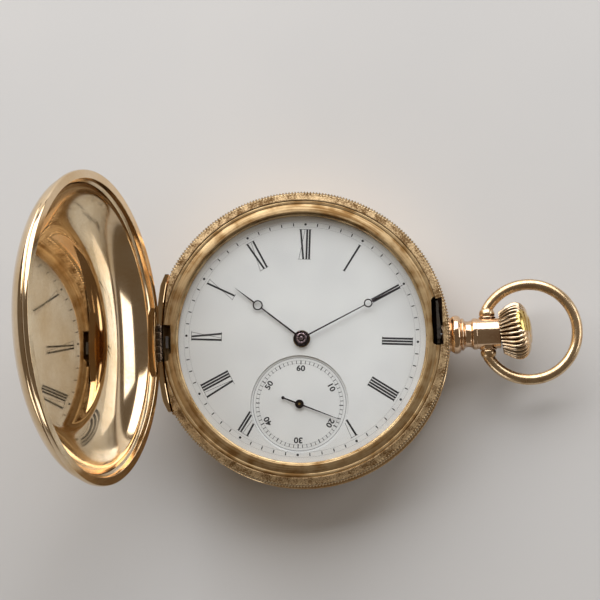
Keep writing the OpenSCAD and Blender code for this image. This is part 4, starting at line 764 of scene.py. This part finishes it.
def buildBow():
    # Wire carried round an arc, with a ball, a shoe and a stud at each foot.
    pivot = pendantShape["pivotX"]
    foot, radius, wire = pick(bowShape, "footY", "radius", "wire")
    centre = pivot + sqrt(radius ** 2 - foot ** 2)
    end = np.arctan2(foot, pivot - centre)
    a = linspace(-end, end, 161)
    b = wholeTurn(32)
    ring = (radius + wire * cos(b))[:, None]
    wireGrid = stack([centre + ring * cos(a), ring * sin(a), pendantZ + wire * sin(b)[:, None] + 0 * a], -1)
    sheets = [sheetOf(wireGrid.transpose(1, 0, 2))]
    c = linspace(0, pi, 25)
    ball = sheetOf(turned(stack([wire * sin(c), wire * cos(c)], 1), evenAngles(40)))
    shoe = lathe([[0, 0.02], [1.42, 0.02], [1.46, 0.5], [1.3, 1.1], [0.8, 1.6], [0, 1.75]], 0.35, 7, 48)
    stud = rod(0.55, 2.1, 0.05, 24)
    for side in (1, -1):
        sheets.append((ball[0] + array([pivot, side * foot, pendantZ]), ball[1]))
        for form, y, flip in ((shoe, bowShape["shoeY"], side), (stud, bowShape["studY"], 1)):
            sheets.append((alongY(form[0], pivot, pendantZ, flip) + array([0, side * y, 0]), form[1]))
    makePiece("bowWire", sheets, bowGold, "bow", ["bow"])


def crownTurn():
    # The lean of the crown's axis to +Y and +Z.
    c, s = cos(radians(crownShape["lean"])), sin(radians(crownShape["lean"]))
    return array([[c, 0, -s], [0, 1, 0], [s, 0, c]]) @ array([[c, -s, 0], [s, c, 0], [0, 0, 1]])


def leanCrown(points):
    # Places the crown, which is made about X from its rear end.
    return points @ crownTurn().T + array([crownShape["x"], 0, pendantZ])


def straightCrown(points):
    # The way back, to the crown's own axis along X.
    return (points - array([crownShape["x"], 0, pendantZ])) @ crownTurn()


def crownRadius(t):
    # Onion form: the radius rises along a sine to the widest place, then falls along a quarter ellipse.
    big, wide, rear, cap = pick(crownShape, "radius", "wide", "rear", "cap")
    rear, cap = big * rear, big * cap
    swell = rear + (big - rear) * sin(minimum(t / wide, 1) * pi / 2) ** 1.2
    fall = cap + (big - cap) * sqrt(1 - (maximum(t - wide, 0) / (1 - wide)) ** 2)
    return where(t < wide, swell, fall)


def buildCrown():
    # Flutes cut the onion by (0.5 - 0.5 cos(n a))^1.2 times a depth that fades at the cap and over the patch
    # worn by the thumb.
    big, flutes, length, deep, wide = pick(crownShape, "radius", "flutes", "length", "depth", "wide")
    rubX, rubLong, rubWide, rubTurn = pick(crownShape, "rubX", "rubLong", "rubWide", "rubTurn")
    rubTurn = radians(rubTurn)
    rear, cap = big * crownShape["rear"], big * crownShape["cap"]
    boreX, boreR = crownShape["bore"]
    t = linspace(0, 1, 60)
    r = crownRadius(t)
    depth = deep * clip(t / 0.03, 0.3, 1) * clip((0.97 - t) / 0.38, 0, 1)
    b = radians(linspace(12, 90, 9))
    capX, capR = length + crownShape["capHigh"] * sin(b), cap * cos(b)
    x = np.concatenate([[boreX, boreX, 0.0, 0.0], t * length, capX])
    r = np.concatenate([[0.0, boreR, boreR, rear - 0.1], r, capR])
    d = np.concatenate([[0, 0, 0, 0], depth, 0 * capR])
    a = wholeTurn(flutes * 12)
    bend = 0.5 * (clip(x / length - wide, 0, 1) / (1 - wide)) ** 2 / flutes * 2 * pi
    wave = (0.5 - 0.5 * cos(flutes * (a[None, :] + bend[:, None]))) ** 1.2
    rub = a - rubTurn
    across = r[:, None] * sin(rub) / rubWide
    worn = np.exp(-(((x[:, None] - rubX) / rubLong) ** 2 + across ** 2) ** 2) * (cos(rub) > 0)
    reach = r[:, None] - d[:, None] * (wave * (1 - worn) + 0.15 * worn)
    grid = stack([x[:, None] + 0 * a, reach * cos(a), reach * sin(a)], -1)
    crown = makePiece("pushCrown", [sheetOf(leanCrown(grid))], crownGold, "crown", ["push_crown"],
                      crease=60, weighted=False)
    x, y, z = straightCrown(pointsOf(crown)).T
    # Painted shade: how deep each point lies in a flute, for the brown colour there
    sunk = (np.interp(x, t * length, crownRadius(t)) - hypot(y, z)) / deep
    markPoints(crown, "groove", clip(sunk * 1.25 - 0.15, 0, 1) * (x < length - 0.05))
    # The thumb's patch on the upper side gets the yellower gold: a painted highlight over flutes that are
    # really rubbed smooth
    x, y, z = straightCrown(faceVectors(crown, "center") / mm).T
    across = y * sin(rubTurn) - z * cos(rubTurn)
    inRubbedHighlight = (((x - rubX) / rubLong) ** 2 + (across / rubWide) ** 2 < 0.8) & (z > 0)
    paintFaces(crown, inRubbedHighlight, rubbedHighlightGold)


buildPendant()
buildBow()
buildCrown()
print("pendant, bow and crown made")


# Dial

dialShape = {"height": dialTop + printLift, "numeralIn": 14.6, "numeralOut": 20.2, "bar": 0.345,
             "gap": 0.155, "hair": 0.07, "serif": 0.12, "line": 0.016, "sink": 0.002,
             "track": (20.62, 21.52), "tickInset": 0.16, "tick": 0.19,
             "dots": 21.1, "dotRadius": 0.23, "secondsClear": 8.95}
secondsShape = {"height": dialTop - 0.3 + printLift, "tickIn": 7.35, "tickOut": 7.95, "longer": 0.12,
                "tick": 0.11, "fiveTick": 0.17, "track": (7.4, 7.95), "edge": (8.4, 8.5), "figure": 1.08,
                "figureFoot": 6.02, "figureWide": 1.15, "figureBold": 0.03, "line": 0.02}


def flatQuads(corners, z):
    # Quads given by (count, 4, 2) corners, laid at height z.
    corners = np.asarray(corners, float)
    points = np.concatenate([corners, np.full(corners.shape[:2] + (1,), z)], -1).reshape(-1, 3)
    return points, arange(len(points)).reshape(-1, 4)


def stroke(x0, y0, x1, y1, wide):
    # A straight stroke between two points, cut level at both ends, wide across.
    h = wide / 2
    return [[x0 - h, y0], [x0 + h, y0], [x1 + h, y1], [x1 - h, y1]]


def romanStrokes(text):
    # Strokes of a condensed Roman numeral for 12 o'clock, centred on x = 0: bars, hairlines and serifs.
    bar, gap, hair = pick(dialShape, "bar", "gap", "hair")
    y0, y1 = pick(dialShape, "numeralIn", "numeralOut")
    strokes, x = [], 0.0
    for letter in text:
        if letter == "I":
            strokes.append(stroke(x + bar / 2, y0, x + bar / 2, y1, bar))
            x += bar + gap
        else:                          # a slanted bar and a hairline: width, both feet and the extra gap
            w, barFoot, hairFoot, more = {"V": (1.15, 0.575, 0.575 + bar * 0.4, 0.1),
                                          "X": (1.0, 1.0 - bar / 2, 0.0, 0.06)}[letter]
            strokes.append(stroke(x + bar / 2, y1, x + barFoot, y0, bar))
            strokes.append(stroke(x + w, y1, x + hairFoot, y0, hair))
            x += w + gap + more
    wide, out = x - gap, dialShape["serif"]
    for y in (y0, y1 - hair):          # hairline serifs join the feet and the heads
        strokes.append([[-out, y], [wide + out, y], [wide + out, y + hair], [-out, y + hair]])
    strokes = array(strokes, float)
    strokes[..., 0] -= wide / 2
    return strokes


def turnClockwise(xy, degrees):
    # Turns points clockwise about the dial's middle, so that up points to that dial angle.
    a = radians(degrees)
    x, y = xy[..., 0], xy[..., 1]
    return stack([x * cos(a) + y * sin(a), -x * sin(a) + y * cos(a)], -1)


def ringBand(r0, r1, z):
    # A flat band between two radii: x = r sin a, y = r cos a.
    a = radians(linspace(0, 360, 361))
    r = array([r0, r1])[:, None]
    return sheetOf(stack([r * sin(a), r * cos(a), z + 0 * r * a], -1), False, False)


def discAt(centres, radius, z):
    # Flat discs of 16 sides: each centre plus radius times (cos a, sin a).
    a = wholeTurn(16)
    rim = stack([cos(a), sin(a)], 1) * radius
    points = (np.asarray(centres)[:, None, :] + rim[None]).reshape(-1, 2)
    points = np.column_stack([points, np.full(len(points), z)])
    return points, arange(len(points)).reshape(-1, len(a))


def makePrint(name, sheets, material, centre=(0.0, 0.0)):
    # Fired print: a flat figure about a centre on the dial, just over the enamel.
    placed = [(turnDial(p, centre), f) for p, f in sheets]
    makePiece(name, placed, material, "case", (), 30, False)


def clearOfSeconds(quad):
    # A stroke cut off where it reaches the seconds dial, or None if nothing of it is left.
    steps = linspace(0, 1, 41)[:, None]
    left, right = quad[0] + (quad[3] - quad[0]) * steps, quad[1] + (quad[2] - quad[1]) * steps
    free = hypot(*((left + right) / 2 - secondsAt).T) > dialShape["secondsClear"]
    if free.all():
        return quad
    i = np.flatnonzero(free)
    return [left[i[0]], right[i[0]], right[i[-1]], left[i[-1]]] if len(i) else None


def buildNumerals():
    # Each hour's strokes turned to that hour, dots on the hours, ticks between them, and a track.
    z = dialShape["height"]
    words = {12: "XII", 1: "I", 2: "II", 3: "III", 4: "IIII", 5: "V", 7: "VII", 8: "VIII", 9: "IX", 10: "X",
             11: "XI"}
    quads = np.concatenate([turnClockwise(romanStrokes(text), hour * 30) for hour, text in words.items()])
    quads = [quad for quad in map(clearOfSeconds, quads) if quad is not None]
    makePrint("hourNumerals", [flatQuads(quads, z)], blackInk)
    dots = turnClockwise(np.tile([0.0, dialShape["dots"]], (12, 1)), arange(12) * 30.0)
    makePrint("minuteDots", [discAt(dots, dialShape["dotRadius"], z)], blackInk)
    inner, outer = dialShape["track"]
    inset = dialShape["tickInset"]
    tick = array(stroke(0, inner + inset, 0, outer - inset, dialShape["tick"]))
    ticks = [turnClockwise(tick, minute * 6.0) for minute in range(60) if minute % 5]
    makePrint("minuteTicks", [flatQuads(ticks, z)], blackInk)
    line, under = dialShape["line"], z - dialShape["sink"]
    rings = [ringBand(r - line, r + line, under) for r in (inner, outer)]
    makePrint("minuteTrack", rings, greyInk)


def buildSecondsDial():
    # Ticks turned by 6 degrees each, every fifth longer and wider, with lines and figures.
    z, start, end = pick(secondsShape, "height", "tickIn", "tickOut")
    ticks = []
    for second in range(60):
        five = second % 5 == 0
        tick = stroke(0, start - (secondsShape["longer"] if five else 0), 0, end,
                      secondsShape["fiveTick"] if five else secondsShape["tick"])
        ticks.append(turnClockwise(array(tick), second * 6.0))
    makePrint("secondsTicks", [flatQuads(ticks, z)], blackInk, secondsAt)
    line, under = secondsShape["line"], z - dialShape["sink"]
    rings = [ringBand(r - line, r + line, under) for r in secondsShape["track"]]
    rings.append(ringBand(*secondsShape["edge"], under))
    makePrint("secondsTrack", rings, greyInk, secondsAt)
    sheets = [figureText(text, secondsShape["figure"], secondsShape["figureFoot"], i * 60.0, z)
              for i, text in enumerate(["60", "10", "20", "30", "40", "50"])]
    makePrint("secondsFigures", sheets, blackInk, secondsAt)


def figureText(text, height, foot, degrees, z):
    # Figures from the built-in font, made a mesh, with their foot at a radius and their head outwards.
    curve = bpy.data.curves.new("figure", "FONT")
    curve.body = text
    curve.align_x = "CENTER"
    curve.resolution_u = 4
    curve.offset = secondsShape["figureBold"]
    holder = addObject("figure", curve)
    bpy.context.view_layer.update()
    mesh = holder.evaluated_get(bpy.context.evaluated_depsgraph_get()).to_mesh()
    points = np.zeros(len(mesh.vertices) * 3)
    mesh.vertices.foreach_get("co", points)
    points = points.reshape(-1, 3)
    faces = [list(p.vertices) for p in mesh.polygons]
    bpy.data.objects.remove(holder)
    low, high = points[:, 1].min(), points[:, 1].max()
    size = height / (high - low)
    xy = stack([points[:, 0] * size * secondsShape["figureWide"], (points[:, 1] - low) * size + foot], 1)
    return np.column_stack([turnClockwise(xy, degrees), np.full(len(xy), z)]), faces


buildNumerals()
buildSecondsDial()
print("dial printed")


# Hands

# Length, radius of the ring's place, the ring's own radius, dial angle and height
handShape = {"hour": (15.3, 10.1, 0.92, 305.7, 10.55), "minute": (21.15, 13.7, 0.79, 60.6, 11.0)}
hubShape = {"hour": (1.45, 1.22), "minute": (1.25, 0.76)}
shaftShape = {"hour": 0.13, "minute": 0.11, "thick": 0.17}
secondsHandShape = {"tail": -3.0, "tip": 7.8, "angle": 109.2, "z": 10.27, "thick": 0.14}


def domedStrip(y, half, z, thick, angle, centre=(0, 0)):
    # A slim blade: across it the top is an arch of height thick, its half width follows y.
    s = linspace(-1, 1, 7)
    x = half[:, None] * s[None, :]
    top = z + thick * (0.45 + 0.55 * sqrt(clip(1 - s ** 2, 0, 1)))[None, :] + 0 * x
    under = z + 0 * x
    grid = np.concatenate([stack([x, y[:, None] + 0 * x, top], -1),
                           stack([x, y[:, None] + 0 * x, under], -1)[:, ::-1]], 1)
    grid[..., :2] = turnClockwise(grid[..., :2], angle)
    points, faces = sheetOf(turnDial(grid, centre), False, True)
    count = grid.shape[1]
    caps = [list(range(count)), list(range(len(points) - count, len(points)))[::-1]]
    return points, list(faces) + caps


def flatRing(out, inside, y, z, thick, angle, centre=(0, 0)):
    # A soft-edged section turned round, moved y along the hand and turned with it.
    section = softProfile([[inside, z], [out, z], [out, z + thick], [inside, z + thick]], 0.05, 4)
    grid = turned(section, evenAngles(64)) + array([0, y, 0])
    grid[..., :2] = turnClockwise(grid[..., :2], angle)
    return sheetOf(turnDial(grid, centre), True)


def buildHands():
    # A domed strip to the ring, the ring, a strip that narrows to the tip, and a hub.
    thick = shaftShape["thick"]
    for name, (length, ringAt, ringOut, angle, z) in handShape.items():
        wide = shaftShape[name]
        y = linspace(0.9, ringAt - ringOut * 0.75, 20)
        shaft = domedStrip(y, wide + 0.04 - 0.06 * y / ringAt, z, thick, angle)
        y = linspace(ringAt + ringOut * 0.75, length, 20)
        tip = domedStrip(y, linspace(wide * 1.15, 0.035, 20), z, thick, angle)
        ring = flatRing(ringOut, ringOut - 0.22, ringAt, z, thick, angle)
        hub = flatRing(*hubShape[name], 0, z, thick, 0)
        makePiece(name + "Hand", [shaft, tip, ring, hub], bluedSteel, name, [name + "_hand"])
    boss = [[0, 11.46], [0.3, 11.42], [0.42, 11.3], [0.44, 11.08], [0.58, 11.08], [0.62, 11.28], [0.8, 11.36],
            [0.98, 11.26], [1.04, 11.02], [0.6, 10.98], [0, 10.98]]
    makePiece("handBoss", [lathe(boss, 0.1, 5, 72)], oxideSteel, "minute", ["minute_hand"])


def buildSecondsHand():
    # A blade that is widest at its axis, with a disc on its tail and a boss.
    tail, end, angle, z, thick = pick(secondsHandShape, "tail", "tip", "angle", "z", "thick")
    y = linspace(tail, end, 30)
    half = np.interp(y, [tail, 0, end], [0.13, 0.15, 0.045])
    blade = domedStrip(y, half, z, thick - 0.01, angle, secondsAt)
    ball = flatRing(0.3, 0.02, tail - 0.2, z, thick, angle, secondsAt)
    boss = flatRing(0.8, 0.2, 0, z, thick, 0, secondsAt)
    makePiece("secondsHand", [blade, ball, boss], bluedSteel, "seconds", ["seconds_hand"])


buildHands()
buildSecondsHand()
print("hands made")

# CAD nodes that stay

finishes = {
    enamel: ["dial", "seconds_dial"],
    polishedGold: ["dust_cover"],
    hingeSteel: ["lid_hinge_pin", "back_hinge_pin", "dust_cover_pin"],
    oiledSteel: ["lock_spring"],
    springSteel: ["push_stem", "lift_spring", "case_spring_screws", "click_spring", "mainspring", "regulator",
                  "hairspring_stud", "pallet_fork", "escape_wheel", "roller_table", "setting_arbor"],
    bluedSteel: ["hairspring", "cannon_pinion"],
    giltBrass: ["main_plate", "barrel_bridge", "train_bridge", "pallet_cock", "balance_cock"],
    wheelBrass: ["balance_wheel", "balance_screws", "fourth_wheel", "third_wheel", "centre_wheel", "barrel",
                 "barrel_lid", "minute_wheel", "hour_wheel"],
    screwSteel: ["ratchet_wheel", "click", "click_screw", "barrel_arbor", "bridge_screws", "movement_screws"],
    ruby: ["jewels", "pallet_stones"]}
for material, names in finishes.items():
    for name in names:
        node = nodes[name]
        node.data.materials.clear()
        node.data.materials.append(material)
print("nodes dressed")

# Floor, light and camera

# Lamps: place and size in metres, power in watts; the camera's place in mm, its focal length in pixels
studio = {"floor": "#CFCDC9", "cloud": "#CAC9C6", "floorHalf": 3.0, "floorDrop": 0.00002, "world": "#FFE9D0",
          "worldStrength": 0.14, "lamp": "#FAFBFF",
          "lamps": {"keyBox": ((-0.1, 0.60, 0.42), (1.2, 0.75), 10.8),
                    "sideBox": ((0.85, 0.15, 0.36), (0.75, 0.45), 2.6),
                    "lowBox": ((-0.55, -0.65, 0.25), (0.5, 0.25), 0.9)},
          "cameraAt": (22.464, -43.612, 369.958), "tilt": (-0.139934, -0.062634, 0.030776), "focal": 1993.634,
          "picture": 600, "sensor": 36.0}


def buildFloor():
    # A wide flat square just under the watch.
    material, tree, shader, place = startMaterial("paperBackdropMatt", studio["floor"], {"Roughness": 0.7})
    cloudColour(tree, shader, place, (60.0,), (0.3, 0.7), studio["floor"], studio["cloud"])
    mesh = bpy.data.meshes.new("floor")
    h, z = studio["floorHalf"], -studio["floorDrop"]
    mesh.from_pydata([(-h, -h, z), (h, -h, z), (h, h, z), (-h, h, z)], [], [(0, 1, 2, 3)])
    mesh.materials.append(material)
    addObject("floor", mesh)


def buildLight():
    # Soft boxes that face the watch, and a faint warm world.
    world = bpy.data.worlds.new("studio")
    bpy.context.scene.world = world
    world.use_nodes = True
    background = world.node_tree.nodes["Background"]
    background.inputs[0].default_value = linearColour(studio["world"])
    background.inputs[1].default_value = studio["worldStrength"]
    for name, (place, size, power) in studio["lamps"].items():
        lamp = bpy.data.lights.new(name, "AREA")
        lamp.shape = "RECTANGLE"
        lamp.size, lamp.size_y = size
        lamp.energy = power
        lamp.color = linearColour(studio["lamp"])[:3]
        away = array(place) / np.linalg.norm(place)
        side = np.cross([0, 0, 1], away)
        side /= np.linalg.norm(side)
        turn = np.column_stack([side, np.cross(away, side), away])
        placeObject(addObject(name, lamp), turn, place)


def placeObject(thing, turn, place):
    # Gives an object its turn, as a 3 by 3 matrix, and its place in metres.
    matrix = np.eye(4)
    matrix[:3, :3], matrix[:3, 3] = turn, place
    thing.matrix_world = Matrix(matrix.tolist())


def buildCamera():
    # The camera's turn is Rz Rx Ry from world to camera, so its inverse places the camera.
    rx, ry, rz = studio["tilt"]
    cx, sx, cy, sy, cz, sz = cos(rx), sin(rx), cos(ry), sin(ry), cos(rz), sin(rz)
    aboutX = array([[1, 0, 0], [0, cx, -sx], [0, sx, cx]])
    aboutY = array([[cy, 0, sy], [0, 1, 0], [-sy, 0, cy]])
    aboutZ = array([[cz, -sz, 0], [sz, cz, 0], [0, 0, 1]])
    lens = bpy.data.cameras.new("camera")
    lens.sensor_width = studio["sensor"]
    lens.lens = studio["focal"] / studio["picture"] * studio["sensor"]
    lens.clip_start = 0.01
    camera = addObject("camera", lens)
    placeObject(camera, (aboutZ @ aboutX @ aboutY).T, array(studio["cameraAt"]) * mm)
    bpy.context.scene.camera = camera


buildFloor()
buildLight()
buildCamera()
bpy.context.scene.view_settings.view_transform = "Standard"
